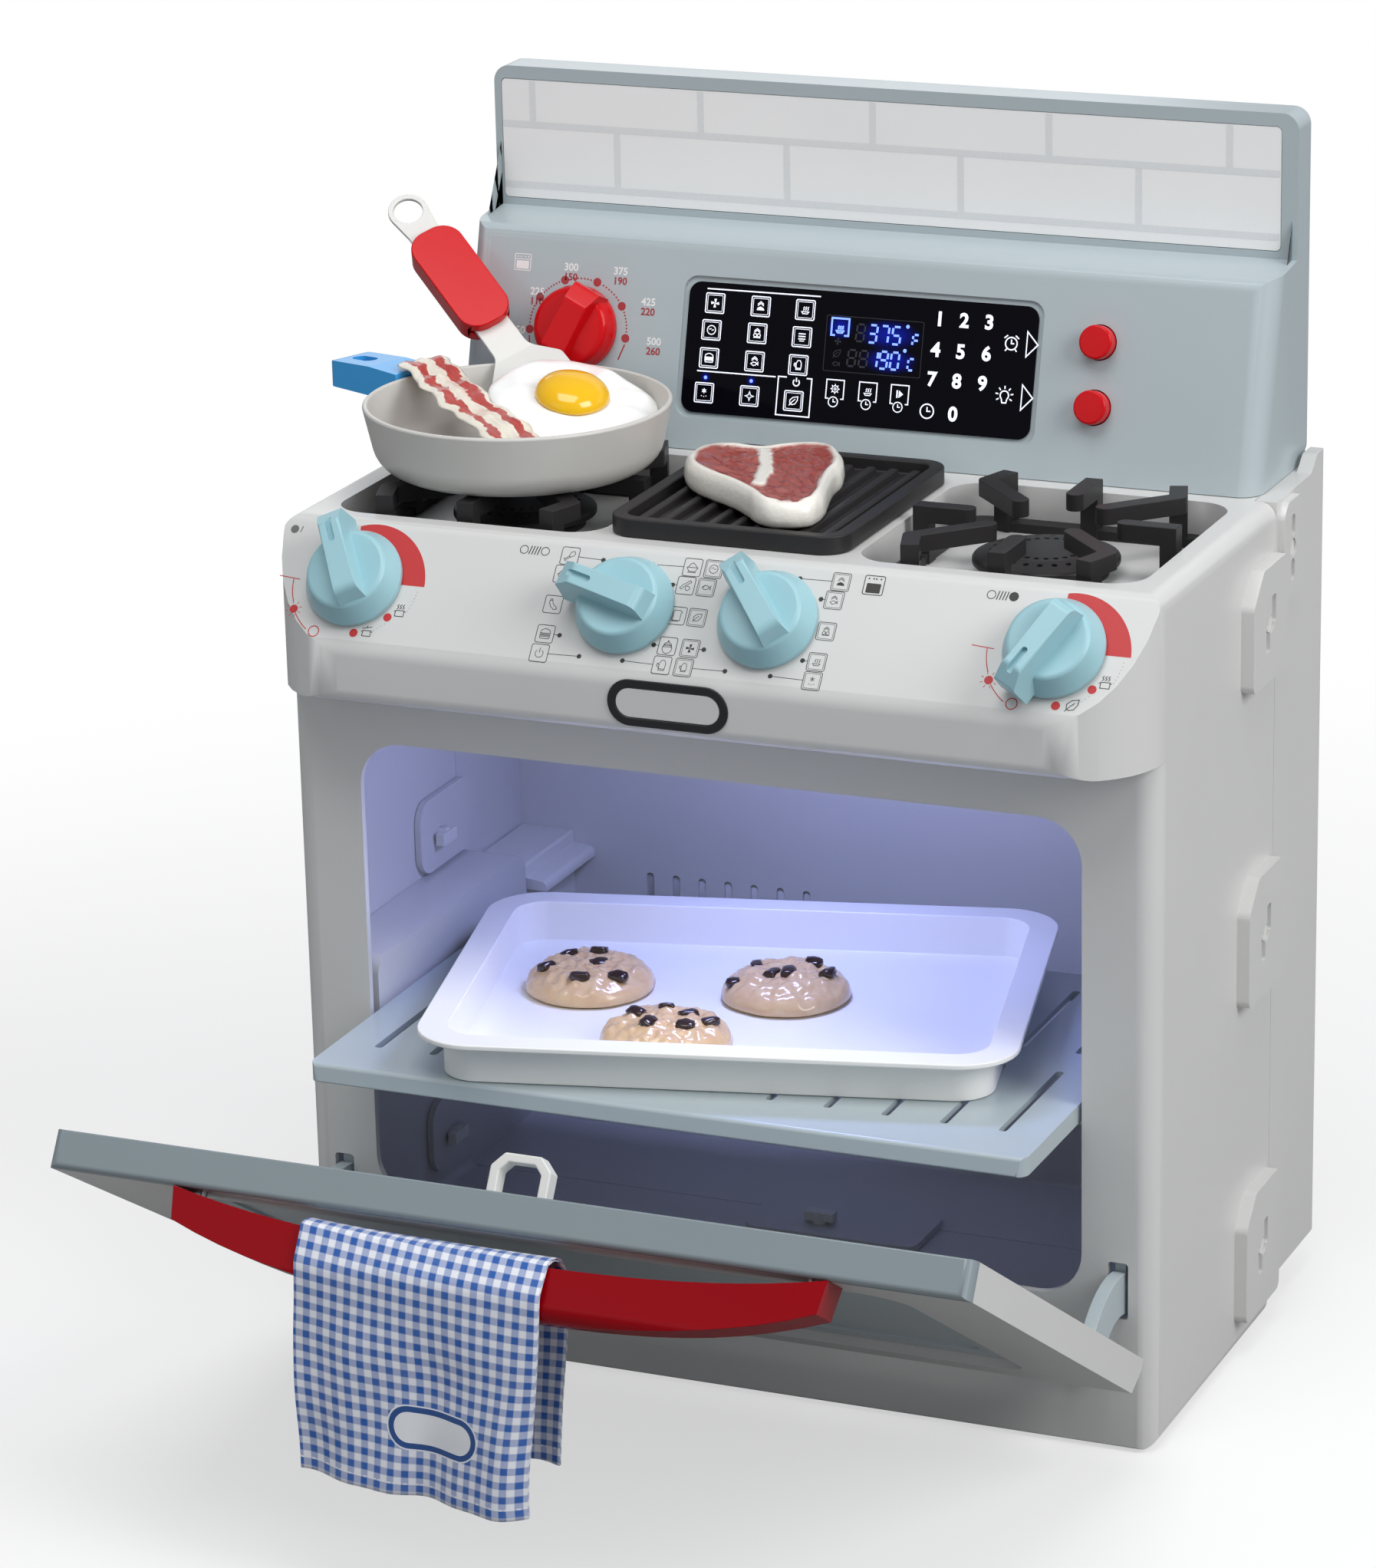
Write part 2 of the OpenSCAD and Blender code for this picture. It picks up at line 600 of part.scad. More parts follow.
rail_y = [front + 12, front + 200];
module shelf_rail() color(blue_grey) {
    along_x(opening_w / 2 - 10, body_w / 2 - wall - 0.2)
        polygon(span_box(rail_y[0], rail_y[1], shelf_z - shelf_t - 6.4, shelf_z - shelf_t - 0.4, 2.5));
    along_x(opening_w / 2 + 0.6, body_w / 2 - wall - 0.2)
        polygon(span_box(rail_y[0], rail_y[1], shelf_z - shelf_t - 6.4, shelf_z + 26, 10));
}
module shelf_rail_right() shelf_rail();
module shelf_rail_left() mirror([1, 0, 0]) shelf_rail();

shelf_slots = 12;
slot_pitch = 31.6;
module oven_shelf() color(blue_grey) difference() {
    intersection() {
        along_z(shelf_z - shelf_t, shelf_z)
            polygon(span_box(-shelf_w / 2, shelf_w / 2, shelf_y, shelf_y + shelf_l, 7));
        along_x(-shelf_w / 2, shelf_w / 2) polygon(soft([[shelf_y, shelf_z - shelf_t, 1],
            [shelf_y + shelf_l, shelf_z - shelf_t, 1], [shelf_y + shelf_l, shelf_z, 2],
            [shelf_y + 1.5, shelf_z, 2.5]]));
    }
    difference() {
        along_z(shelf_z - shelf_t - 1, shelf_z - 3.2)
            polygon(span_box(-shelf_w / 2 + 3, shelf_w / 2 - 3, shelf_y + 3.5, shelf_y + shelf_l - 3, 4));
        for (x = [-3:3]) translate([x * 2 * slot_pitch - 1.2, shelf_y, 0])
            cube([2.4, shelf_l, shelf_z]);
        for (v = [24, 137, 246]) translate([-shelf_w / 2, shelf_y + v, 0]) cube([shelf_w, 2.4, shelf_z]);
    }
    for (i = [0:shelf_slots - 1], v = [77, 192]) translate([(i - 5.5) * slot_pitch, shelf_y + v, 0])
        along_z(shelf_z - 5, shelf_z + 1) polygon(soft_box(4.4, 88, 2.1));
}

// ---- Door, modelled closed and turned open about the hinge ----

module open_door() translate([0, front - hinge_y, hinge_z]) rotate([door_open, 0, 0])
    translate([0, -(front - hinge_y), -hinge_z]) children();

bevel_z = 13;
panel_t = 8;
side_wall = 3;
band = 7;
window_x = 196;
window_z = [104, 322];
lug_x = [204.6, 212];
pin_hole = 3.1;
knuckle_r = 6.4;

// The bottom end of the door slants, so its outer face is the shorter one.
function door_section(y0, y1, z1) = let (rise = function(y) (door_face - y) * bevel_z / door_t)
    [[y0, door_z0 + rise(y0)], [y1, door_z0 + rise(y1)], [y1, z1], [y0, z1]];

module door_inner() color(blue_grey) open_door() difference() {
    union() {
        along_x(-door_w / 2 + side_wall, door_w / 2 - side_wall)
            polygon(door_section(door_face - panel_t, door_face, door_z1 - band));
        intersection() {
            along_x(-door_w / 2, door_w / 2) polygon(soft([[door_out, door_z1 - band, 0],
                [door_face, door_z1 - band, 0], [door_face, door_z1, 1], [door_out, door_z1, 3]]));
            along_y(door_out - 1, door_face + 1)
                polygon(soft([[-door_w / 2, door_z1 - 20, 0], [door_w / 2, door_z1 - 20, 0],
                    [door_w / 2, door_z1, 6], [-door_w / 2, door_z1, 6]]));
        }
        both_sides() along_x(lug_x[0], lug_x[1]) polygon(concat(
            [[door_face - panel_t, door_z0 + 8], [door_face - 1, door_z0 + 4]],
            [for (a = [60:-20:-240]) [front - hinge_y + knuckle_r * cos(a),
                hinge_z + knuckle_r * sin(a)]]));
    }
    along_y(door_face - 4, door_face + 1)
        polygon(span_box(-door_w / 2 + 26, door_w / 2 - 26, door_z0 + 26, door_z1 - 40, 14));
    both_sides() translate([0, front - hinge_y, hinge_z]) rotate([0, 90, 0]) rod(pin_hole, 200, 216);
    for (x = [-1, 1]) translate([x * (handle_half - 12), 0, handle_z]) rotate([90, 0, 0]) {
        rod(2.1, -door_face - 1, -door_out + 1);
        rod(4, -door_face - 1, -door_face + 2.4);
    }
}

module door_outer() color(shell_colour) open_door() difference() {
    intersection() {
        along_x(-door_w / 2, door_w / 2) polygon(door_section(door_out, door_face, door_z1 - band));
        along_y(door_out - 1, door_face + 1)
            polygon(soft([[-door_w / 2, door_z0, 4], [door_w / 2, door_z0, 4],
                [door_w / 2, door_z1 + 20, 2], [-door_w / 2, door_z1 + 20, 2]]));
    }
    translate([0, door_face - panel_t + 20, door_z0 + door_l / 2])
        cube([door_w - 2 * side_wall, 40, door_l + 40], center = true);
    along_y(door_out - 1, door_face) polygon(span_box(-window_x, window_x, window_z[0], window_z[1], 22));
    for (x = [-1, 1]) translate([x * (handle_half - 12), 0, handle_z]) rotate([90, 0, 0])
        rod(2.1, -door_face - 1, -door_out + 1);
    both_sides() along_x(lug_x[0] - 1, lug_x[1] + 1)
        polygon(span_box(door_out + 5, door_face, door_z0 - 5, door_z0 + 12, 0));
}

module door_window() color(blue_grey) open_door() difference() {
    along_y(door_out + 5, door_face - panel_t)
        polygon(span_box(-window_x + 0.3, window_x - 0.3, window_z[0] + 0.3, window_z[1] - 0.3, 21.7));
    along_y(door_out + 4, door_out + 6.4)
        polygon(span_box(-window_x + 20, window_x - 20, window_z[0] + 20, window_z[1] - 20, 12));
}

// An eight-sided loop that stands on the inner face near the top.
latch_z = [327, 336.5];
module door_latch() color("#e8e8e4") open_door() along_z(latch_z[0], latch_z[1]) difference() {
    polygon([[-16, door_face + eps], [16, door_face + eps], [16, door_face + 15], [9.5, door_face + 22],
        [-9.5, door_face + 22], [-16, door_face + 15]]);
    polygon([[-11, door_face + 2], [11, door_face + 2], [11, door_face + 13], [7, door_face + 17.5],
        [-7, door_face + 17.5], [-11, door_face + 13]]);
}

// Quarter-ring stays run through the slots beside the opening; a stop on top of each meets the
// inside of the front wall when the door is fully open.
stay_x = [216, 223];
stay_r = [31, 53];
module sector(r0, r1, a0, a1) polygon(concat(
    [for (a = [a0:(a1 - a0) / 14:a1 + 0.001]) r1 * [sin(a), cos(a)]],
    [for (a = [a1:(a0 - a1) / 14:a0 - 0.001]) r0 * [sin(a), cos(a)]]));
module stay_arm(s) color(blue_grey) open_door() translate([0, front - hinge_y, hinge_z])
    mirror([s < 0 ? 1 : 0, 0, 0]) {
        difference() {
            along_x(stay_x[0], stay_x[1]) sector(stay_r[0], stay_r[1], 1, 96);
            along_x(stay_x[0] - 1, stay_x[0] + 2) sector(stay_r[0] + 4, stay_r[1] - 4, -9, 91);
            translate([0, -20 + hinge_y - door_gap, 0]) cube([600, 40, 200], center = true);
        }
        rotate([-door_open, 0, 0]) along_x(stay_x[0] + 0.5, stay_x[1] - 0.5)
            polygon([[hinge_y + wall + 0.4, 48], [hinge_y + wall + 6, 46], [hinge_y + wall + 6, 62],
                [hinge_y + wall + 0.4, 63]]);
    }
module stay_arm_left() stay_arm(-1);
module stay_arm_right() stay_arm(1);

module hinge_brackets() color(shell_colour) both_sides() difference() {
    along_x(195, 204) polygon(concat([[front - 0.2, hinge_z + 9], [front - 0.2, hinge_z - 9]],
        [for (a = [250:-20:110]) [front - hinge_y + 7 * cos(a), hinge_z + 7 * sin(a)]]));
    translate([0, front - hinge_y, hinge_z]) rotate([0, 90, 0]) rod(3.4, 190, 210);
}
module hinge_pins() color("#b9bdc0") open_door() both_sides()
    translate([0, front - hinge_y, hinge_z]) rotate([0, 90, 0]) {
        rod(3, 194, 212.4);
        rod(5, 212.3, 213.8);
    }

// The handle bows away from the door; its ends stand on the outer face.
function bow(x) = 1 - pow(abs(x) / handle_half, 2.8);
handle_steps = 24;
function handle_line(base, rise) = [for (i = [0:handle_steps])
    let (x = handle_half * (2 * i / handle_steps - 1)) [x, door_out - base - rise * bow(x)]];
module door_handle() color("#a60018") open_door() difference() {
    intersection() {
        along_z(handle_z - handle_w / 2, handle_z + handle_w / 2) polygon(concat(
            [for (p = handle_line(0.1, handle_gap)) p],
            [for (i = [0:handle_steps]) let (q = handle_line(handle_end, handle_deep - handle_end)
                [handle_steps - i]) [q.x * 0.985, q.y]]));
        along_x(-handle_half, handle_half) polygon(soft([[door_out, handle_z - handle_w / 2, 0],
            [door_out, handle_z + handle_w / 2, 0], [door_out - handle_deep, handle_z + handle_w / 2, 9],
            [door_out - handle_deep, handle_z - handle_w / 2, 9]]));
    }
    for (x = [-1, 1]) translate([x * (handle_half - 12), 0, handle_z]) rotate([90, 0, 0])
        rod(1.9, -door_out - 1, -door_out + 11);
}
module handle_screws() color("#9a9a9a") open_door() for (x = [-1, 1])
    translate([x * (handle_half - 12), 0, handle_z]) rotate([90, 0, 0]) {
        rod(1.8, -door_face + 2, -door_out + 10);
        rod(3.6, -door_face + 0.3, -door_face + 2.3);
    }

// ---- Towel: folded, hung over the handle, hanging plumb while the door stands open ----

hinge_at = [front - hinge_y, hinge_z];
function opened(y, z) = let (q = [y, z] - hinge_at) hinge_at +
    [q.x * cos(door_open) - q.y * sin(door_open), q.x * sin(door_open) + q.y * cos(door_open)];
function handle_inner(x) = handle_gap * bow(x);
function handle_outer(x) = handle_end + (handle_deep - handle_end) * bow(x);
function handle_mid(x) = opened(door_out - (handle_inner(x) + handle_outer(x)) / 2, handle_z);
function loop_r(x) = norm([(handle_outer(x) - handle_inner(x)) / 2, handle_w / 2]) + 1.3;
towel_t = 2;
towel_strips = 10;
module towel_strip(c, r, drop, rise) polygon(concat(
    [for (a = [180:-20:0]) c + (r + towel_t) * [cos(a), sin(a)]],
    [[c.x + r + towel_t, c.y - rise], [c.x + r, c.y - rise]],
    [for (a = [0:20:180]) c + r * [cos(a), sin(a)]],
    [[c.x - r, c.y - drop], [c.x - r - towel_t, c.y - drop]]));
module towel() color("#7d9fce") for (i = [0:towel_strips - 1]) {
    w = towel_w / towel_strips;
    x0 = towel_x - towel_w / 2 + i * w;
    c = handle_mid(x0 + w / 2);
    drop = towel_drop + c.y - handle_mid(0).y;
    along_x(x0, x0 + w + (i < towel_strips - 1 ? eps : 0))
        towel_strip(c, loop_r(x0 + w / 2), drop, drop - 12);
}

// ---- Baking tray and cookies ----

module on_tray() translate([tray_at.x, tray_at.y, shelf_z + 0.3]) rotate(tray_turn) children();
module baking_tray() color("#f3f3f0") on_tray() difference() {
    union() {
        along_z(0, tray_h - 1) polygon(soft_box(tray_w - 26, tray_l - 26, 20));
        along_z(tray_h - 3, tray_h) polygon(soft_box(tray_w, tray_l, 31));
    }
    along_z(2.4, tray_h + 1) polygon(soft_box(tray_w - 32, tray_l - 32, 17));
}
module cookie(i) color("#c9ab8c") translate([cookie_at[i].x, front + cookie_at[i].y, shelf_z + 3])
    rotate_extrude() polygon(soft([[0, 0, 0], [cookie_d / 2 - 6, 0, 2], [cookie_d / 2, 5, 3],
        [cookie_d / 2 - 5, 12, 6], [cookie_d / 2 - 17, 17, 10], [0, 18.5, 0]]));
module cookie_1() cookie(0);
module cookie_2() cookie(1);
module cookie_3() cookie(2);

// ---- Pan, spatula and food ----

module at_pan() translate([pan_at.x, pan_at.y, grate_top + 0.3]) children();
module pan_body() color("#c9c7c2") at_pan() rotate_extrude() polygon(concat(
    soft([[0, 0, 0], [pan_d / 2 - 8, 0, 17], [pan_d / 2, pan_h, 1.4],
        [pan_d / 2 - 3, pan_h, 1.2], [pan_d / 2 - 10.4, 3, 14], [0, 3, 0]])));

pan_handle_turn = 157;
module pan_handle() color("#2f8fd8") at_pan() rotate(pan_handle_turn) difference() {
    intersection() {
        along_z(pan_h - 13, pan_h + 3) polygon(soft([[pan_d / 2 - 1.5, -14, 0], [136, -13, 5],
            [138, 13, 5], [pan_d / 2 - 1.5, 14, 0]]));
        along_y(-20, 20) polygon(soft([[70, pan_h - 13, 0], [140, pan_h - 13, 2],
            [140, pan_h + 1, 7], [104, pan_h + 3, 6], [70, pan_h + 2, 0]]));
    }
    rod(pan_d / 2 + 0.3, 0, 60);
    translate([122, 0, 0]) along_z(0, 60) polygon(soft_box(16, 9, 4.4));
}

// Local frames of the spatula: X runs out along the shaft from the rim.
module on_shaft() translate(spoon_at) rotate([0, 0, spoon_dir]) rotate([0, -spoon_rise, 0])
    rotate([spoon_roll, 0, 0]) children();
module spatula_blade() color("#dcdcd8") on_shaft() difference() {
    fold = blade_half_t * tan(blade_bend / 2);
    tip = (head_l + 10) * [-cos(blade_bend), sin(blade_bend)];
    up = [sin(blade_bend), cos(blade_bend)] * blade_half_t;
    along_y(-22.5, 22.5) polygon([[130, blade_half_t], [fold, blade_half_t], tip + up, tip - up,
        [-fold, -blade_half_t], [130, -blade_half_t]]);
    for (side = [-1, 1]) scale([1, side, 1]) along_z(-30, 30) polygon(soft([[140, 0, 0],
        [140, 30, 0], [-80, 30, 0], [-80, 0, 0], [-head_l, 0, 0], [-head_l, 20, 8], [-12, 22, 6],
        [4, 10, 8], [96, 9, 10], [123, 12.5, 11], [123, 0, 0]]));
    translate([112, 0, 0]) along_z(-3, 3) circle(r = 8);
}
module spatula_grip() color("#cf2a1f") on_shaft() difference() {
    along_z(-7, 7) polygon(span_box(22, 92, -15, 15, 12));
    along_z(-1.3, 1.3) polygon(span_box(0, 130, -12.7, 12.7, 0));
}

// The egg leans on the blade; it is highest towards the spatula.
egg_at = [-130.1, front + 126, 492.8];
egg_rise = 17;
module on_egg() translate(egg_at) rotate([0, 0, 135]) rotate([0, -egg_rise, 0]) children();
module egg_white() color("#ffffff") on_egg() rotate_extrude()
    polygon(soft([[0, 0, 0], [42, 0, 1], [47, 3, 1.8], [40, 6, 4], [26, 9.5, 6], [0, 10, 0]]));
module egg_yolk() color("#f2c200") on_egg() rotate_extrude()
    polygon(concat([[0, 10.2], [19, 10.2]], [for (a = [0:9:90]) [20 * cos(a), 10.6 + 9 * sin(a)]]));

bacon_from = [-226, front + 137, 508.1];
bacon_to = [-121, front + 40, 493.7];
module bacon() color("#b8403c") {
    d = bacon_to - bacon_from;
    flat_l = norm([d.x, d.y]);
    translate(bacon_from) rotate([0, 0, atan2(d.y, d.x)]) rotate([0, -atan2(d.z, flat_l), 0])
        intersection() {
            along_z(-3, 3) polygon(concat(
                [for (i = [0:24]) [i * norm(d) / 24, 13 + 1.2 * sin(i * 70)]],
                [for (i = [24:-1:0]) [i * norm(d) / 24, -13 + 1.4 * sin(i * 55 + 40)]]));
            along_y(-20, 20) polygon(concat(
                [for (i = [0:24]) [i * norm(d) / 24, 1.6 + 0.8 * sin(i * 45)]],
                [for (i = [24:-1:0]) [i * norm(d) / 24, -1.6 + 0.8 * sin(i * 45)]]));
        }
}

steak_at = [-8, front + 91];
steak_outline = [[45, -57, 8], [51, -41, 14], [37, 6, 16], [36, 28, 14], [18, 61, 10], [-3, 54, 8],
    [-16, 38, 7], [-36, 44, 8], [-50, 32, 12], [-43, -4, 12], [4, -34, 16], [24, -59.5, 9]];
module steak() color("#8d3330") translate([steak_at.x, steak_at.y, deck_z + 7.8]) {
    along_z(0, 12) polygon(soft(steak_outline));
    along_z(12 - eps, 15) polygon(soft([for (p = steak_outline) p * 0.94]));
}

front_shell();
rear_shell();
rubber_feet();
twist_pins();
grate_left();
grate_right();
burner_cap_left();
burner_cap_right();
griddle();
burner_knob_1();
burner_knob_2();
burner_knob_3();
burner_knob_4();
knob_bushes();
console_housing();
console_back();
tile_panel();
display_glass();
circuit_board();
speaker();
oven_dial();
button_upper();
button_lower();
battery_box();
battery_cover();
batteries();
oven_lamp();
shelf_rail_left();
shelf_rail_right();
oven_shelf();
hinge_brackets();
hinge_pins();
door_inner();
door_outer();
door_window();
door_latch();
stay_arm_left();
stay_arm_right();
door_handle();
handle_screws();
towel();
baking_tray();
cookie_1();
cookie_2();
cookie_3();
pan_body();
pan_handle();
spatula_blade();
spatula_grip();
egg_white();
egg_yolk();
bacon();
steak();
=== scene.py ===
import bpy, bmesh, json, math, random
from mathutils import Matrix, Vector, noise


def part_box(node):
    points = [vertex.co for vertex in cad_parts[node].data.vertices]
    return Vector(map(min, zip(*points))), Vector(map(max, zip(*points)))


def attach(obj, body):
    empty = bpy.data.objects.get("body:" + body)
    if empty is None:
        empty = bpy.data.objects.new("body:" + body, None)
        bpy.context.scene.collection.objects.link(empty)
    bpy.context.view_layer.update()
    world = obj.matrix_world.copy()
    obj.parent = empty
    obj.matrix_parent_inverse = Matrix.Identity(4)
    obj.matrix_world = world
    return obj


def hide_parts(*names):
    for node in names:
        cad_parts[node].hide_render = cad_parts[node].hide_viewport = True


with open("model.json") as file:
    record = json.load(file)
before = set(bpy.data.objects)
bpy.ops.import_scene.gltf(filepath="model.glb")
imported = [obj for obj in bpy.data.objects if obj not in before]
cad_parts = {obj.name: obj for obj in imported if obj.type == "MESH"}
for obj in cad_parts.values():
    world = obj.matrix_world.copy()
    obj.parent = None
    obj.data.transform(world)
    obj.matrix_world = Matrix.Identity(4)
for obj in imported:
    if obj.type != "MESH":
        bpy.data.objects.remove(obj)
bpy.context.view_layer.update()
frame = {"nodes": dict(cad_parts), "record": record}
nodes = frame["nodes"]
random.seed(7)


def linear(hexColour, alpha=1.0):
    channels = [int(hexColour[i:i + 2], 16) / 255 for i in (1, 3, 5)]
    return tuple(c / 12.92 if c <= 0.04045 else ((c + 0.055) / 1.055) ** 2.4 for c in channels) + (alpha,)


def addNode(tree, kind, inputs=None, **settings):
    node = tree.nodes.new("ShaderNode" + kind)
    for name, value in settings.items():
        setattr(node, name, value)
    for name, value in (inputs or {}).items():
        socket = node.inputs[name]
        if isinstance(value, bpy.types.NodeSocket):
            tree.links.new(value, socket)
        else:
            socket.default_value = value
    return node


def startMaterial(name):
    material = bpy.data.materials.new(name)
    material.use_nodes = True
    material.node_tree.nodes.clear()
    return material, material.node_tree


def finishMaterial(tree, surface):
    addNode(tree, "OutputMaterial", {"Surface": surface})


def mm(x, y, z):
    return Vector((x, y, z)) / 1000


# The noise scale for marks this many millimetres across, where coordinates are in metres.
def marksOf(size):
    return 1000 / size


def onCircle(centre, radius, degrees):
    turn = math.radians(degrees)
    return centre[0] + radius * math.cos(turn), centre[1] + radius * math.sin(turn)


def meshOf(name, build):
    mesh = bpy.data.meshes.new(name)
    build.to_mesh(mesh)
    build.free()
    return mesh


# A skin over closed rows of points, each row joined to the next.
def wrapped(rows):
    build = bmesh.new()
    loops = [[build.verts.new(point) for point in row] for row in rows]
    for low, high in zip(loops, loops[1:]):
        for i in range(len(low)):
            j = (i + 1) % len(low)
            build.faces.new((low[i], low[j], high[j], high[i]))
    return build, loops


def areaLamp(name, place, width, height, watts):
    light = bpy.data.lights.new(name, "AREA")
    light.shape = "RECTANGLE"
    light.size, light.size_y, light.energy = width, height, watts
    lamp = bpy.data.objects.new(name, light)
    lamp.location = place
    bpy.context.scene.collection.objects.link(lamp)
    return lamp


# The photograph's viewpoint.
viewpoint = {"place": (1.1035, -2.7038, 1.2567), "azimuth": 23.465, "elevation": 19.410, "roll": -1.3256,
             "lens": 150.75, "shiftX": -0.00548, "shiftY": 0.08797}


def makeCamera():
    a, e, r = (math.radians(viewpoint[k]) for k in ("azimuth", "elevation", "roll"))
    ahead = Vector((-math.sin(a) * math.cos(e), math.cos(a) * math.cos(e), -math.sin(e)))
    right = Vector((math.cos(a), math.sin(a), 0))
    up = right.cross(ahead)
    rightRolled = right * math.cos(r) + up * math.sin(r)
    upRolled = up * math.cos(r) - right * math.sin(r)
    data = bpy.data.cameras.new("photo_camera")
    camera = bpy.data.objects.new("photo_camera", data)
    bpy.context.scene.collection.objects.link(camera)
    turn = Matrix((rightRolled, upRolled, -ahead)).transposed()
    camera.matrix_world = Matrix.Translation(viewpoint["place"]) @ turn.to_4x4()
    data.sensor_fit = "HORIZONTAL"
    data.sensor_width = 36
    data.lens = viewpoint["lens"]
    data.shift_x = viewpoint["shiftX"]
    data.shift_y = viewpoint["shiftY"]
    data.clip_end = 50
    bpy.context.scene.camera = camera


# A white floor that keeps the shadow, and four soft boxes.
studio = {"floorSize": 12.0, "floorSteps": 24, "worldLevel": 0.37, "shadowShare": 0.42, "fade": (0.55, 1.25),
          "boxes": [  # name, place, aim, width, height, watts
              ("key_right", (2.9, -0.8, 2.2), (0, 0, 0.3), 1.8, 1.8, 66),
              ("front_fill", (-1.6, -3.2, 1.6), (0, 0, 0.3), 2.0, 1.6, 4),
              ("top_box", (0.1, -0.9, 2.8), (0, 0, 0.4), 1.8, 1.4, 32),
              ("back_fill", (-1.8, 3.0, 1.6), (0, 0, 0.3), 2.0, 1.6, 9)]}


def makeStudio():
    bpy.context.scene.view_settings.view_transform = "Standard"
    world = bpy.data.worlds.new("white_room")
    bpy.context.scene.world = world
    world.use_nodes = True
    tree = world.node_tree
    tree.nodes.clear()
    path = addNode(tree, "LightPath")
    seen = addNode(tree, "Math", {0: path.outputs["Is Camera Ray"], 1: path.outputs["Is Transmission Ray"]},
                   operation="MAXIMUM")
    room = addNode(tree, "Background", {"Color": linear("#f7f9ff"), "Strength": studio["worldLevel"]})
    white = addNode(tree, "Background", {"Color": (1, 1, 1, 1), "Strength": 1.0})
    mixed = addNode(tree, "MixShader", {0: seen.outputs[0], 1: room.outputs[0], 2: white.outputs[0]})
    addNode(tree, "OutputWorld", {"Surface": mixed.outputs[0]})
    for name, place, aim, width, height, watts in studio["boxes"]:
        lamp = areaLamp(name, place, width, height, watts)
        lamp.rotation_euler = (Vector(aim) - Vector(place)).to_track_quat("-Z", "Y").to_euler()


def makeFloor():
    steps = studio["floorSteps"]
    grid = bmesh.new()
    bmesh.ops.create_grid(grid, x_segments=steps, y_segments=steps, size=studio["floorSize"] / 2)
    mesh = meshOf("floor", grid)
    floor = bpy.data.objects.new("floor", mesh)
    bpy.context.scene.collection.objects.link(floor)
    material, tree = startMaterial("white_paper_floor")
    path = addNode(tree, "LightPath")
    bounce = addNode(tree, "Mix", {"Factor": path.outputs["Is Camera Ray"], "A": linear("#9a9a9a"),
                                   "B": linear("#fafafa")}, data_type="RGBA")
    paper = addNode(tree, "BsdfDiffuse", {"Color": bounce.outputs["Result"]})
    glow = addNode(tree, "Emission", {"Color": (1, 1, 1, 1), "Strength": 1.0})
    spot = addNode(tree, "TexCoord")
    away = addNode(tree, "VectorMath", {0: spot.outputs["Object"]}, operation="LENGTH")
    far = addNode(tree, "MapRange", {"Value": away.outputs["Value"], "From Min": studio["fade"][0],
                                     "From Max": studio["fade"][1],
                                     "To Min": 1 - studio["shadowShare"], "To Max": 1.0},
                  interpolation_type="SMOOTHSTEP")
    seen = addNode(tree, "Math", {0: far.outputs[0], 1: path.outputs["Is Camera Ray"]}, operation="MULTIPLY")
    surface = addNode(tree, "MixShader", {0: seen.outputs[0], 1: paper.outputs[0], 2: glow.outputs[0]})
    finishMaterial(tree, surface.outputs[0])
    mesh.materials.append(material)


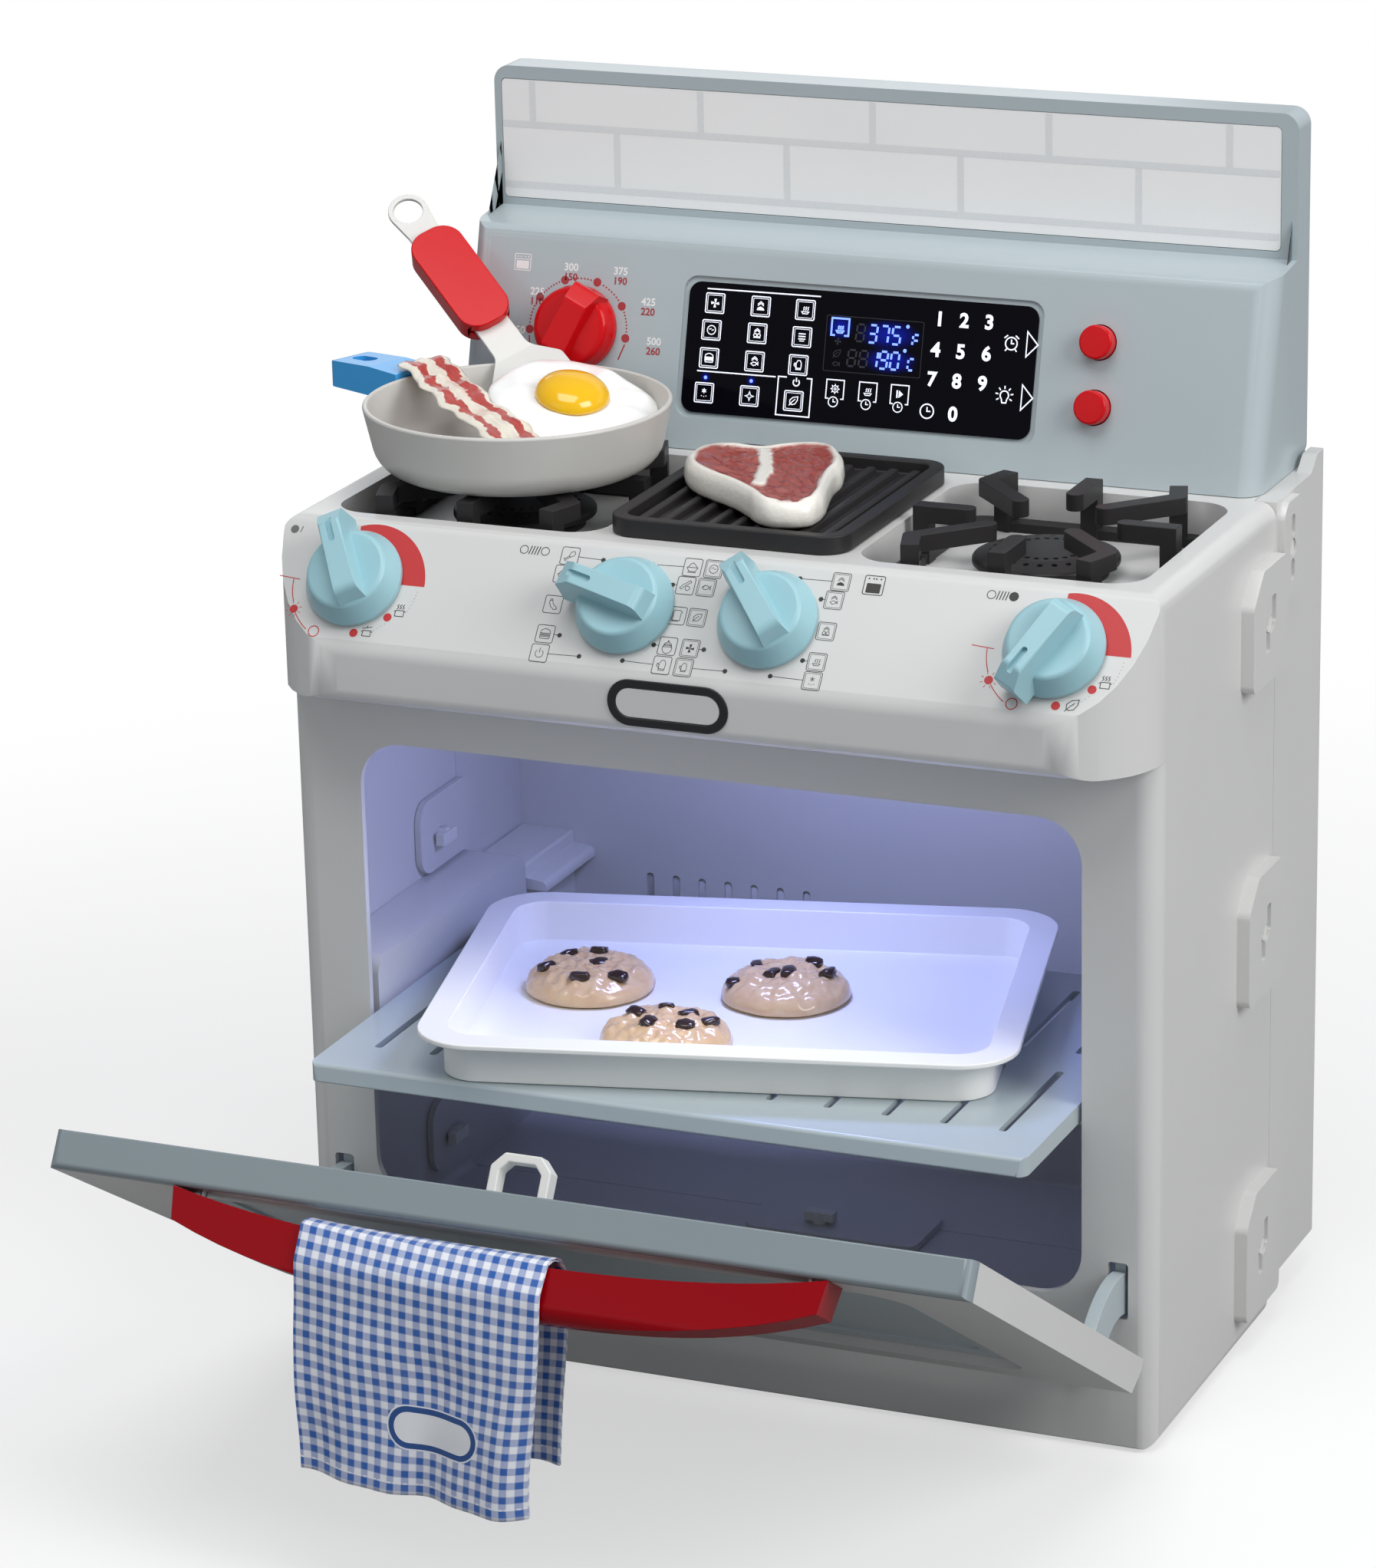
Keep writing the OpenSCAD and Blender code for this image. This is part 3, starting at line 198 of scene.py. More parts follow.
# One entry a finish. gloss is the roughness; peel is the unevenness of a moulded face in mm, drawn at a
# quarter of its depth; cloud is how much the colour drifts over a palm's width; shine is the specular level.
mouldings = {
    "shell_white": {"name": "abs_warm_light_grey", "colour": "#d7d7d5", "gloss": 0.27, "peel": 0.012,
                    "cloud": 0.03},
    "blue_grey": {"name": "abs_blue_grey", "colour": "#b2bec2", "gloss": 0.24, "peel": 0.012, "cloud": 0.03},
    # The same blue-grey, darkened as painted shade for the open door's inner face, which lies low and turned
    # from the lamps.
    "blue_grey_painted_shade": {"name": "abs_blue_grey_painted_shade", "colour": "#8b979c", "gloss": 0.24, "peel": 0.012,
                  "cloud": 0.03},
    "knob_blue": {"name": "abs_pale_turquoise_satin", "colour": "#9fcad3", "gloss": 0.33, "peel": 0.015,
                  "cloud": 0.02},
    "red": {"name": "abs_signal_red_gloss", "colour": "#cf0f17", "gloss": 0.16, "shine": 0.22, "peel": 0.008,
            "cloud": 0.02},
    "dark_red": {"name": "abs_deep_red_gloss", "colour": "#98000f", "gloss": 0.16, "shine": 0.16,
                 "peel": 0.010, "cloud": 0.03},
    "charcoal": {"name": "abs_charcoal_satin", "colour": "#2b292a", "gloss": 0.42, "shine": 0.3,
                 "peel": 0.022, "cloud": 0.06},
    "natural_plastic": {"name": "pp_natural", "colour": "#e4e4e0", "gloss": 0.35, "peel": 0.012,
                        "cloud": 0.03},
    "dark_plastic": {"name": "abs_black_satin", "colour": "#232326", "gloss": 0.4, "peel": 0.02,
                     "cloud": 0.05},
    "cell_blue": {"name": "printed_cell_sleeve", "colour": "#2f5fae", "gloss": 0.3, "peel": 0.006,
                  "cloud": 0.04},
    "board_green": {"name": "glass_epoxy_board", "colour": "#2a6a3d", "gloss": 0.35, "peel": 0.02,
                    "cloud": 0.1},
    "lamp_lens": {"name": "ps_frosted_lens", "colour": "#dfe6ff", "gloss": 0.3, "peel": 0.02, "cloud": 0.02},
    "foot_rubber": {"name": "tpe_grey_foot", "colour": "#8e9092", "gloss": 0.7, "peel": 0.03, "cloud": 0.05},
    "tray_white": {"name": "pp_white_tray", "colour": "#f3f3ef", "gloss": 0.3, "peel": 0.010, "cloud": 0.015},
    "pan_grey": {"name": "pp_stone_grey_pan", "colour": "#cfcdc8", "gloss": 0.34, "peel": 0.014,
                 "cloud": 0.025},
    "handle_blue": {"name": "pp_sky_blue_gloss", "colour": "#40a8ec", "gloss": 0.2, "peel": 0.008,
                    "cloud": 0.02},
    "spatula_grey": {"name": "pp_pale_grey", "colour": "#dededa", "gloss": 0.3, "peel": 0.010, "cloud": 0.02},
}


# A moulded part has an even gloss on a faintly uneven skin, and its colour drifts a little.
def mouldedPlastic(finish):
    material, tree = startMaterial(finish["name"])
    place = addNode(tree, "TexCoord").outputs["Object"]
    cloud = addNode(tree, "TexNoise", {"Vector": place, "Scale": marksOf(111), "Detail": 3.0,
                                       "Roughness": 0.6})
    colour = linear(finish["colour"])
    dark = tuple(c * (1 - finish["cloud"]) for c in colour[:3]) + (1,)
    light = tuple(min(1, c * (1 + finish["cloud"])) for c in colour[:3]) + (1,)
    tint = addNode(tree, "Mix", {"Factor": cloud.outputs["Fac"], "A": dark, "B": light}, data_type="RGBA")
    peel = addNode(tree, "TexNoise", {"Vector": place, "Scale": marksOf(1.92), "Detail": 2.0,
                                      "Roughness": 0.5})
    wave = addNode(tree, "TexNoise", {"Vector": place, "Scale": marksOf(45.5), "Detail": 1.0,
                                      "Roughness": 0.4})
    uneven = addNode(tree, "Math", {0: wave.outputs["Fac"], 1: 6.0, 2: peel.outputs["Fac"]},
                     operation="MULTIPLY_ADD")
    bump = addNode(tree, "Bump", {"Height": uneven.outputs[0], "Distance": finish["peel"] / 1000 / 4})
    surface = addNode(tree, "BsdfPrincipled", {
        "Base Color": tint.outputs["Result"], "Roughness": finish["gloss"], "Normal": bump.outputs[0],
        "IOR": 1.5, "Specular IOR Level": finish.get("shine", 0.42)})
    finishMaterial(tree, surface.outputs[0])
    return material


# Smoked acrylic: almost black, polished like glass.
def smokedAcrylic():
    material, tree = startMaterial("smoked_acrylic_window")
    place = addNode(tree, "TexCoord").outputs["Object"]
    dust = addNode(tree, "TexNoise", {"Vector": place, "Scale": marksOf(6.25), "Detail": 3.0})
    gloss = addNode(tree, "MapRange", {"Value": dust.outputs["Fac"], "From Min": 0.35, "From Max": 0.75,
                                       "To Min": 0.05, "To Max": 0.11})
    surface = addNode(tree, "BsdfPrincipled", {"Base Color": linear("#06050d"), "Roughness": gloss.outputs[0],
            "IOR": 1.49,
                                               "Specular IOR Level": 0.06})
    finishMaterial(tree, surface.outputs[0])
    return material


# Printed polystyrene sheet: a glossy white print on a faintly wavy sheet.
def printedTileSheet():
    material, tree = startMaterial("printed_polystyrene_tiles")
    place = addNode(tree, "TexCoord").outputs["Object"]
    soft = addNode(tree, "TexNoise", {"Vector": place, "Scale": marksOf(71.4), "Detail": 2.0})
    tint = addNode(tree, "Mix", {"Factor": soft.outputs["Fac"], "A": linear("#f5f6f6"),
                                 "B": linear("#fdfdfc")}, data_type="RGBA")
    wave = addNode(tree, "TexNoise", {"Vector": place, "Scale": marksOf(33.3), "Detail": 1.0})
    bump = addNode(tree, "Bump", {"Height": wave.outputs["Fac"], "Distance": 0.00004})
    surface = addNode(tree, "BsdfPrincipled", {"Base Color": tint.outputs["Result"], "Roughness": 0.22,
            "IOR": 1.5,
                                               "Normal": bump.outputs[0]})
    finishMaterial(tree, surface.outputs[0])
    return material


# Zinc-plated steel: fine turning marks spread its reflection.
def platedSteel():
    material, tree = startMaterial("zinc_plated_steel")
    place = addNode(tree, "TexCoord").outputs["Object"]
    grain = addNode(tree, "TexNoise", {"Vector": place, "Scale": marksOf(1.11), "Detail": 3.0})
    gloss = addNode(tree, "MapRange", {"Value": grain.outputs["Fac"], "From Min": 0.3, "From Max": 0.7,
                                       "To Min": 0.22, "To Max": 0.38})
    surface = addNode(tree, "BsdfPrincipled", {"Base Color": linear("#b9bbbd"), "Metallic": 1.0,
            "Roughness": gloss.outputs[0]})
    finishMaterial(tree, surface.outputs[0])
    return material


materials = {}


def makeFinishes():
    for slot, finish in mouldings.items():
        materials[slot] = mouldedPlastic(finish)
    materials["display_black"] = smokedAcrylic()
    materials["tile_white"] = printedTileSheet()
    materials["steel"] = platedSteel()


# How far the edges of each part are rounded, in mm.
edgeRadius = {"default": 0.8, "front_shell": 1.4, "rear_shell": 1.2, "console_housing": 1.6, "griddle": 1.2,
              "grate_left": 1.0, "grate_right": 1.0, "burner_cap_left": 0.8, "burner_cap_right": 0.8,
              "door_inner": 1.2, "door_outer": 1.2, "door_handle": 0.8, "tile_panel": 0.2,
              "display_glass": 0.3,
              "circuit_board": 0.2, "speaker": 0.3, "battery_cover": 0.5, "twist_pins": 0.5,
              "handle_screws": 0.2,
              "hinge_pins": 0.3, "knob_bushes": 0.3, "oven_shelf": 0.7, "baking_tray": 0.8,
              "door_window": 0.4,
              "button_upper": 1.0, "button_lower": 1.0, "spatula_blade": 0.5, "pan_body": 0.5}


def smoothGroup():
    tree = bpy.data.node_groups.new("smooth_by_angle", "GeometryNodeTree")
    tree.interface.new_socket("Geometry", in_out="INPUT", socket_type="NodeSocketGeometry")
    tree.interface.new_socket("Geometry", in_out="OUTPUT", socket_type="NodeSocketGeometry")
    start = tree.nodes.new("NodeGroupInput")
    end = tree.nodes.new("NodeGroupOutput")
    faces = tree.nodes.new("GeometryNodeSetShadeSmooth")
    edges = tree.nodes.new("GeometryNodeSetShadeSmooth")
    angle = tree.nodes.new("GeometryNodeInputMeshEdgeAngle")
    under = tree.nodes.new("FunctionNodeCompare")
    faces.domain = "FACE"
    edges.domain = "EDGE"
    under.data_type = "FLOAT"
    under.operation = "LESS_THAN"
    under.inputs[1].default_value = math.radians(32)
    tree.links.new(start.outputs[0], faces.inputs["Geometry"])
    tree.links.new(faces.outputs[0], edges.inputs["Geometry"])
    tree.links.new(angle.outputs["Unsigned Angle"], under.inputs[0])
    tree.links.new(under.outputs[0], edges.inputs["Shade Smooth"])
    tree.links.new(edges.outputs[0], end.inputs[0])
    return tree


def softenEdges():
    group = smoothGroup()
    for name, obj in nodes.items():
        radius = edgeRadius.get(name, edgeRadius["default"]) / 1000
        weld = obj.modifiers.new("weld", "WELD")
        weld.merge_threshold = 0.00001
        flat = obj.modifiers.new("flat", "DECIMATE")
        flat.decimate_type = "DISSOLVE"
        flat.angle_limit = math.radians(0.6)
        bevel = obj.modifiers.new("edge", "BEVEL")
        bevel.width = radius
        bevel.segments = 3
        bevel.limit_method = "ANGLE"
        bevel.angle_limit = math.radians(38)
        bevel.use_clamp_overlap = True
        smooth = obj.modifiers.new("smooth", "NODES")
        smooth.node_group = group
        normals = obj.modifiers.new("normals", "WEIGHTED_NORMAL")
        normals.keep_sharp = True
        normals.weight = 100


def dressNodes():
    slotOfNode = {part["node"]: part["material_slot"] for part in frame["record"]["subparts"]}
    # door_inner takes the darker blue-grey, which is painted shade.
    slotOfNode.update(shelf_rail_left="shell_white", shelf_rail_right="shell_white", door_inner="blue_grey_painted_shade")
    for name, obj in nodes.items():
        material = materials.get(slotOfNode[name])
        if not material:  # a soft solid, which a modelled piece replaces
            continue
        if not obj.material_slots:
            obj.data.materials.append(material)
        for holder in obj.material_slots:
            holder.material = material


# Printed marks are flat shapes in a face's own millimetres, x to the right and y up the face.
panelFace = {"origin": (0, -175, 402), "up": (0, 0.6264, 0.7795), "out": (0, -0.7795, 0.6264)}
consoleFace = {"origin": (0, 55, 470), "up": (0, 0.2622, 0.9650), "out": (0, -0.9650, 0.2622)}
displayFace = dict(consoleFace, origin=(-6, 55, 470))
noseFace = {"origin": (0, -175, 372), "up": (0, 0, 1), "out": (0, -1, 0)}
printLift = 0.06


def onFace(face, x, y, lift=printLift):
    point = Vector(face["origin"]) + Vector(face["up"]) * y + Vector(face["out"]) * lift
    return mm(point.x + x, point.y, point.z)


def arc(centre, radius, first=0, last=360, steps=None):
    steps = steps or max(8, int(abs(last - first) / 12))
    count = steps if abs(last - first) >= 360 else steps + 1
    return [onCircle(centre, radius, first + (last - first) * i / steps) for i in range(count)]


def line(points, width, closed=False):
    spots = [Vector(p) for p in points]
    count = len(spots)
    left, right = [], []
    for i, spot in enumerate(spots):
        before = spots[(i - 1) % count] if closed or i > 0 else None
        after = spots[(i + 1) % count] if closed or i < count - 1 else None
        along = []
        if before is not None and (spot - before).length > 1e-6:
            along.append((spot - before).normalized())
        if after is not None and (after - spot).length > 1e-6:
            along.append((after - spot).normalized())
        way = sum(along, Vector((0, 0))).normalized() if along else Vector((1, 0))
        side = Vector((-way.y, way.x))
        reach = width / 2 / max(0.45, side.dot(Vector((-along[0].y, along[0].x))) if along else 1)
        left.append(spot + side * reach)
        right.append(spot - side * reach)
    last = count if closed else count - 1
    return [[left[i], right[i], right[(i + 1) % count], left[(i + 1) % count]] for i in range(last)]


def disc(centre, radius):
    return [arc(centre, radius)]


def ring(centre, radius, width):
    return line(arc(centre, radius), width, True)


# A sector of a ring whose outer radius drifts from its first to its last angle.
def crescent(centre, inner, outers, angles, steps=30):
    quads = []
    for i in range(steps):
        corners = []
        for k in (i, i + 1):
            f = k / steps
            turn = angles[0] + (angles[1] - angles[0]) * f
            reach = outers[0] + (outers[1] - outers[0]) * f ** 1.15
            corners.append([onCircle(centre, r, turn) for r in (reach, inner)])
        quads.append([corners[0][0], corners[1][0], corners[1][1], corners[0][1]])
    return quads


def roundedBox(centre, width, height, radius):
    x, y = width / 2 - radius, height / 2 - radius
    points = []
    for cx, cy, turn in ((x, y, 0), (-x, y, 90), (-x, -y, 180), (x, -y, 270)):
        points += arc((centre[0] + cx, centre[1] + cy), radius, turn, turn + 90, 4)
    return points


def dots(points, radius):
    return [shape for point in points for shape in disc(point, radius)]


def words(text, centre, height, bold=0.03):
    curve = bpy.data.curves.new("lettering", "FONT")
    curve.body = text
    curve.size = height * 1.37      # the built-in letters' capitals are 0.73 of the size
    curve.align_x = "CENTER"
    curve.offset = height * bold
    curve.resolution_u = 4
    holder = bpy.data.objects.new("lettering", curve)
    bpy.context.scene.collection.objects.link(holder)
    graph = bpy.context.evaluated_depsgraph_get()
    mesh = holder.evaluated_get(graph).to_mesh()
    shapes = [[(mesh.vertices[i].co.x + centre[0], mesh.vertices[i].co.y + centre[1] - height / 2)
               for i in face.vertices] for face in mesh.polygons]
    holder.evaluated_get(graph).to_mesh_clear()
    bpy.data.objects.remove(holder)
    bpy.data.curves.remove(curve)
    return shapes


def makePiece(name, mesh, body, material, smooth=True):
    obj = bpy.data.objects.new(name, mesh)
    bpy.context.scene.collection.objects.link(obj)
    mesh.materials.append(material)
    if smooth:
        mesh.polygons.foreach_set("use_smooth", [True] * len(mesh.polygons))
    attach(obj, body)
    return obj


def printMark(name, face, shapes, material, body="cabinet", lift=printLift):
    build = bmesh.new()
    for shape in shapes:
        corners = [build.verts.new(onFace(face, p[0], p[1], lift)) for p in shape]
        build.faces.new(corners)
    bmesh.ops.recalc_face_normals(build, faces=build.faces)
    out = Vector(face["out"])
    for surface in build.faces:
        if surface.normal.dot(out) < 0:
            surface.normal_flip()
    return makePiece(name, meshOf(name, build), body, material, smooth=False)


# Pad-printed ink: thin, even and a little duller than the gloss under it.
def padInk(name, colour, gloss=0.45, glow=0.0):
    material, tree = startMaterial(name)
    place = addNode(tree, "TexCoord").outputs["Object"]
    grain = addNode(tree, "TexNoise", {"Vector": place, "Scale": marksOf(1.43), "Detail": 2.0})
    ink = linear(colour)
    thin = tuple(c * 0.9 + 0.02 for c in ink[:3]) + (1,)
    tint = addNode(tree, "Mix", {"Factor": grain.outputs["Fac"], "A": ink, "B": thin}, data_type="RGBA")
    surface = addNode(tree, "BsdfPrincipled", {"Base Color": tint.outputs["Result"], "Roughness": gloss,
                                               "Emission Color": ink, "Emission Strength": glow})
    finishMaterial(tree, surface.outputs[0])
    return material


inks = {"black": ("pad_ink_black", "#2b2926"), "red": ("pad_ink_red", "#c92a2c"),
        "white": ("pad_ink_white", "#f3f3f3"),
        "rust": ("pad_ink_dull_red", "#a9333a"), "grey": ("pad_ink_grey", "#6b6b6a")}


# Line drawings of food and settings in a square from -1 to 1: L is a line, C a closed line,
# F a filled shape, D a dot, R a ring and A an arc.
pictograms = {
    "drumstick": [("C", [(-0.1, 0.0), (0.1, 0.55), (0.5, 0.7), (0.72, 0.4), (0.5, 0.0), (0.1, -0.15)]),
                  ("C", [(-0.1, 0.0), (-0.55, -0.4), (-0.72, -0.35), (-0.66, -0.55), (-0.5, -0.72),
                         (-0.42, -0.5), (0.1, -0.15)])],
    "sausage": [("C", [(-0.5, 0.7), (-0.2, 0.75), (-0.1, 0.3), (0.1, -0.05), (0.5, -0.3), (0.6, -0.6),
                       (0.2, -0.7), (-0.3, -0.3), (-0.55, 0.2)]),
                ("L", [(-0.55, 0.5), (-0.2, 0.55)])],
    "burger": [("C", [(-0.7, 0.1), (-0.6, 0.5), (-0.2, 0.7), (0.2, 0.7), (0.6, 0.5), (0.7, 0.1)]),
               ("L", [(-0.75, -0.05), (0.75, -0.05)]),
               ("L", [(-0.75, -0.2), (0.75, -0.2)]),
               ("C", [(-0.7, -0.35), (0.7, -0.35), (0.6, -0.65), (-0.6, -0.65)])],
    "power": [("A", (0, -0.05), 0.55, -230, 50), ("L", [(0, 0.05), (0, 0.75)])],
    "bowl": [("C", [(-0.75, 0.0), (0.75, 0.0), (0.45, -0.55), (-0.45, -0.55)]),
             ("L", [(-0.6, 0.05), (-0.3, 0.5), (0.0, 0.65), (0.3, 0.4), (0.6, 0.05)]),
             ("L", [(-0.6, -0.7), (0.6, -0.7)])],
    "bacon": [("C", [(-0.75, -0.35), (-0.4, 0.1), (0.0, 0.35), (0.5, 0.75), (0.7, 0.5), (0.2, 0.15),
                     (-0.2, -0.15), (-0.5, -0.55)]),
              ("R", (0.3, -0.35), 0.3)],
    "fish": [("C", [(-0.7, 0.0), (-0.3, 0.35), (0.2, 0.3), (0.5, 0.0), (0.75, 0.35), (0.75, -0.35),
                    (0.5, 0.0), (0.2, -0.3), (-0.3, -0.35)]), ("D", (-0.4, 0.08), 0.08)],
    "loaf": [("C", arc((0, 0), 0.7, 0, 360, 16)), ("L", [(-0.4, 0.1), (0.0, 0.2)]),
             ("L", [(0.05, -0.05), (0.4, 0.05)])],
    "toast": [("C", [(-0.65, 0.5), (-0.35, 0.75), (0.35, 0.75), (0.65, 0.5), (0.5, 0.25), (0.5, -0.65),
                     (-0.5, -0.65), (-0.5, 0.25)]),
              ("L", [(-0.65, 0.35), (-0.65, -0.75), (0.3, -0.75)])],
    "leaf": [("C", [(-0.55, -0.45), (-0.6, 0.1), (-0.1, 0.55), (0.7, 0.7), (0.65, 0.1), (0.3, -0.45),
                    (-0.2, -0.6)]), ("L", [(-0.7, -0.75), (-0.2, -0.15), (0.3, 0.3)])],
    "muffin": [("C", [(-0.6, -0.1), (-0.45, 0.35), (0.0, 0.6), (0.45, 0.35), (0.6, -0.1)]),
               ("D", (0.0, 0.68), 0.12), ("C", arc((0, -0.35), 0.66, 0, 360, 14)),
               ("L", [(-0.4, 0.1), (0.4, 0.1)])],
    "fan": [("F", [(0, 0), (-0.2, 0.65), (0.25, 0.7), (0.15, 0.2)]),
            ("F", [(0, 0), (0.65, 0.2), (0.7, -0.25), (0.2, -0.15)]),
            ("F", [(0, 0), (0.2, -0.65), (-0.25, -0.7), (-0.15, -0.2)]),
            ("F", [(0, 0), (-0.65, -0.2), (-0.7, 0.25), (-0.2, 0.15)])],
    "mitt": [("C", [(-0.35, -0.7), (-0.35, 0.3), (-0.1, 0.7), (0.3, 0.7), (0.5, 0.3), (0.5, -0.3),
                    (0.4, -0.7)]), ("L", [(-0.35, 0.0), (-0.6, 0.25), (-0.7, -0.05), (-0.35, -0.4)]),
             ("L", [(-0.35, -0.5), (0.42, -0.5)])],
    "roast": [("L", [(-0.5, 0.35), (0, 0.75), (0.5, 0.35)]), ("L", [(-0.5, 0.1), (0, 0.5), (0.5, 0.1)]),
              ("F", [(-0.65, -0.6), (-0.5, -0.2), (0.0, 0.0), (0.5, -0.25), (0.65, -0.6)])],
    "grilledFish": [("L", [(-0.5, 0.35), (0, 0.75), (0.5, 0.35)]), ("L", [(-0.5, 0.1), (0, 0.5), (0.5, 0.1)]),
                    ("C", [(-0.6, -0.35), (-0.2, -0.1), (0.2, -0.15), (0.6, -0.5), (0.6, -0.1), (0.2, -0.55),
                           (-0.2, -0.65)])],
    "grilledVeg": [("L", [(-0.5, 0.35), (0, 0.75), (0.5, 0.35)]), ("L", [(-0.5, 0.1), (0, 0.5), (0.5, 0.1)]),
                   ("R", (-0.3, -0.3), 0.26), ("R", (0.3, -0.3), 0.26), ("L", [(-0.6, -0.65), (0.6, -0.65)])],
    "steam": [("L", [(-0.35, -0.1), (-0.2, 0.1), (-0.3, 0.3), (-0.12, 0.5)]),
              ("L", [(0.0, -0.1), (0.15, 0.1), (0.05, 0.3), (0.23, 0.5)]),
              ("L", [(0.35, -0.1), (0.5, 0.1), (0.4, 0.3), (0.58, 0.5)]),
              ("C", [(-0.6, -0.3), (0.6, -0.3), (0.4, -0.6), (-0.4, -0.6)])],
    "frost": [("L", [(0, 0.7), (0, -0.1)]), ("L", [(-0.35, 0.5), (0.35, 0.1)]),
              ("L", [(-0.35, 0.1), (0.35, 0.5)]), ("D", (-0.4, -0.5), 0.08), ("D", (0, -0.6), 0.08),
              ("D", (0.4, -0.5), 0.08)],
    "star": [("C", [(0, 0.7), (0.18, 0.18), (0.7, 0), (0.18, -0.18), (0, -0.7), (-0.18, -0.18), (-0.7, 0),
                    (-0.18, 0.18)])],
    "racks": [("F", [(-0.6, 0.6), (0.6, 0.6), (0.6, 0.42), (-0.6, 0.42)]),
              ("F", [(-0.6, 0.2), (0.6, 0.2), (0.6, 0.02), (-0.6, 0.02)]),
              ("F", [(-0.6, -0.2), (0.6, -0.2), (0.6, -0.38), (-0.6, -0.38)]),
              ("L", [(-0.4, -0.6), (0.4, -0.6)])],
    "clock": [("R", (0, 0), 0.75), ("L", [(0, 0.45), (0, 0), (0.4, 0)])],
    "gear": [("R", (0, 0), 0.5), ("R", (0, 0), 0.18)] + [
        ("L", [onCircle((0, 0), 0.5, a), onCircle((0, 0), 0.78, a)]) for a in range(0, 360, 45)],
    "play": [("F", [(-0.55, 0.6), (-0.3, 0.6), (-0.3, -0.6), (-0.55, -0.6)]),
             ("F", [(-0.15, 0.6), (0.6, 0.0), (-0.15, -0.6)])],
    "alarm": [("R", (0, -0.05), 0.6), ("L", [(0, 0.35), (0, -0.05), (0.3, -0.05)]),
              ("L", [(-0.75, 0.45), (-0.4, 0.75)]), ("L", [(0.75, 0.45), (0.4, 0.75)]),
              ("L", [(-0.4, -0.55), (-0.6, -0.8)]), ("L", [(0.4, -0.55), (0.6, -0.8)])],
    "bulb": [("A", (0, 0.1), 0.42, -50, 230),
             ("L", [(-0.27, -0.25), (-0.2, -0.6), (0.2, -0.6), (0.27, -0.25)])] +
            [("L", [onCircle((0, 0.1), 0.62, a), onCircle((0, 0.1), 0.9, a)]) for a in range(-30, 211, 40)],
    "pot": [("C", [(-0.6, 0.15), (0.6, 0.15), (0.6, -0.65), (-0.6, -0.65)]),
            ("L", [(-0.85, 0.0), (-0.6, 0.0)]), ("L", [(0.85, 0.0), (0.6, 0.0)])],
    "lid": [("L", [(-0.7, 0.3), (0.6, 0.6)]), ("L", [(-0.1, 0.5), (0.0, 0.7)])],
    "waves": [("L", [(x - 0.1, 0.3), (x + 0.1, 0.5), (x - 0.1, 0.7), (x + 0.1, 0.9)])
              for x in (-0.35, 0, 0.35)],
}


def pictogram(kind, centre, half, width):
    def spot(p):
        return centre[0] + p[0] * half, centre[1] + p[1] * half
    shapes = []
    for mark in pictograms[kind]:
        if mark[0] == "L":
            shapes += line([spot(p) for p in mark[1]], width)
        elif mark[0] == "C":
            shapes += line([spot(p) for p in mark[1]], width, True)
        elif mark[0] == "F":
            shapes.append([spot(p) for p in mark[1]])
        elif mark[0] == "D":
            shapes += disc(spot(mark[1]), mark[2] * half)
        elif mark[0] == "R":
            shapes += ring(spot(mark[1]), mark[2] * half, width)
        elif mark[0] == "A":
            shapes += line(arc(spot(mark[1]), mark[2] * half, mark[3], mark[4]), width)
    return shapes


panelPrint = {"square": 9.6, "thick": 0.32, "double": 7.9,
              "knobs": (-191, -39, 39, 191), "knobUp": 38.0,
              # kind, x, y, double frame, leader end (x, y) or None
              "marks": [("drumstick", -76.4, 62.8, 0, (-57.7, 62.3)), ("bowl", -77.6, 52.6, 0, None),
                        ("sausage", -78.9, 35.7, 0, None),
                        ("burger", -79.1, 19.4, 0, (-71.1, 19.4)), ("power", -79.7, 8.8, 0, (-57.7, 9.2)),
                        ("bowl", -8.6, 63.0, 0, (-30.3, 62.5)), ("loaf", 2.9, 63.2, 1, None),
                        ("bacon", -9.9, 52.9, 0, (-17.0, 52.6)),
                        ("fish", 1.3, 52.9, 1, None), ("toast", -10.6, 36.3, 0, None),
                        ("leaf", 0.4, 36.3, 1, None),
                        ("muffin", -11.6, 19.5, 0, (-19.1, 19.4)), ("fan", 0.7, 19.5, 1, (8.2, 19.6)),
                        ("mitt", -12.2, 9.0, 0, (-33.8, 9.3)),
                        ("mitt", -0.3, 9.0, 1, (22.2, 9.3)),
                        ("roast", 72.0, 62.9, 1, (49.9, 62.6)), ("grilledFish", 70.6, 52.8, 1, (63.6, 52.7)),
                        ("grilledVeg", 70.4, 35.9, 1, None),
                        ("steam", 69.3, 19.2, 1, (61.7, 19.2)), ("frost", 69.2, 8.9, 1, (46.7, 9.2))]}


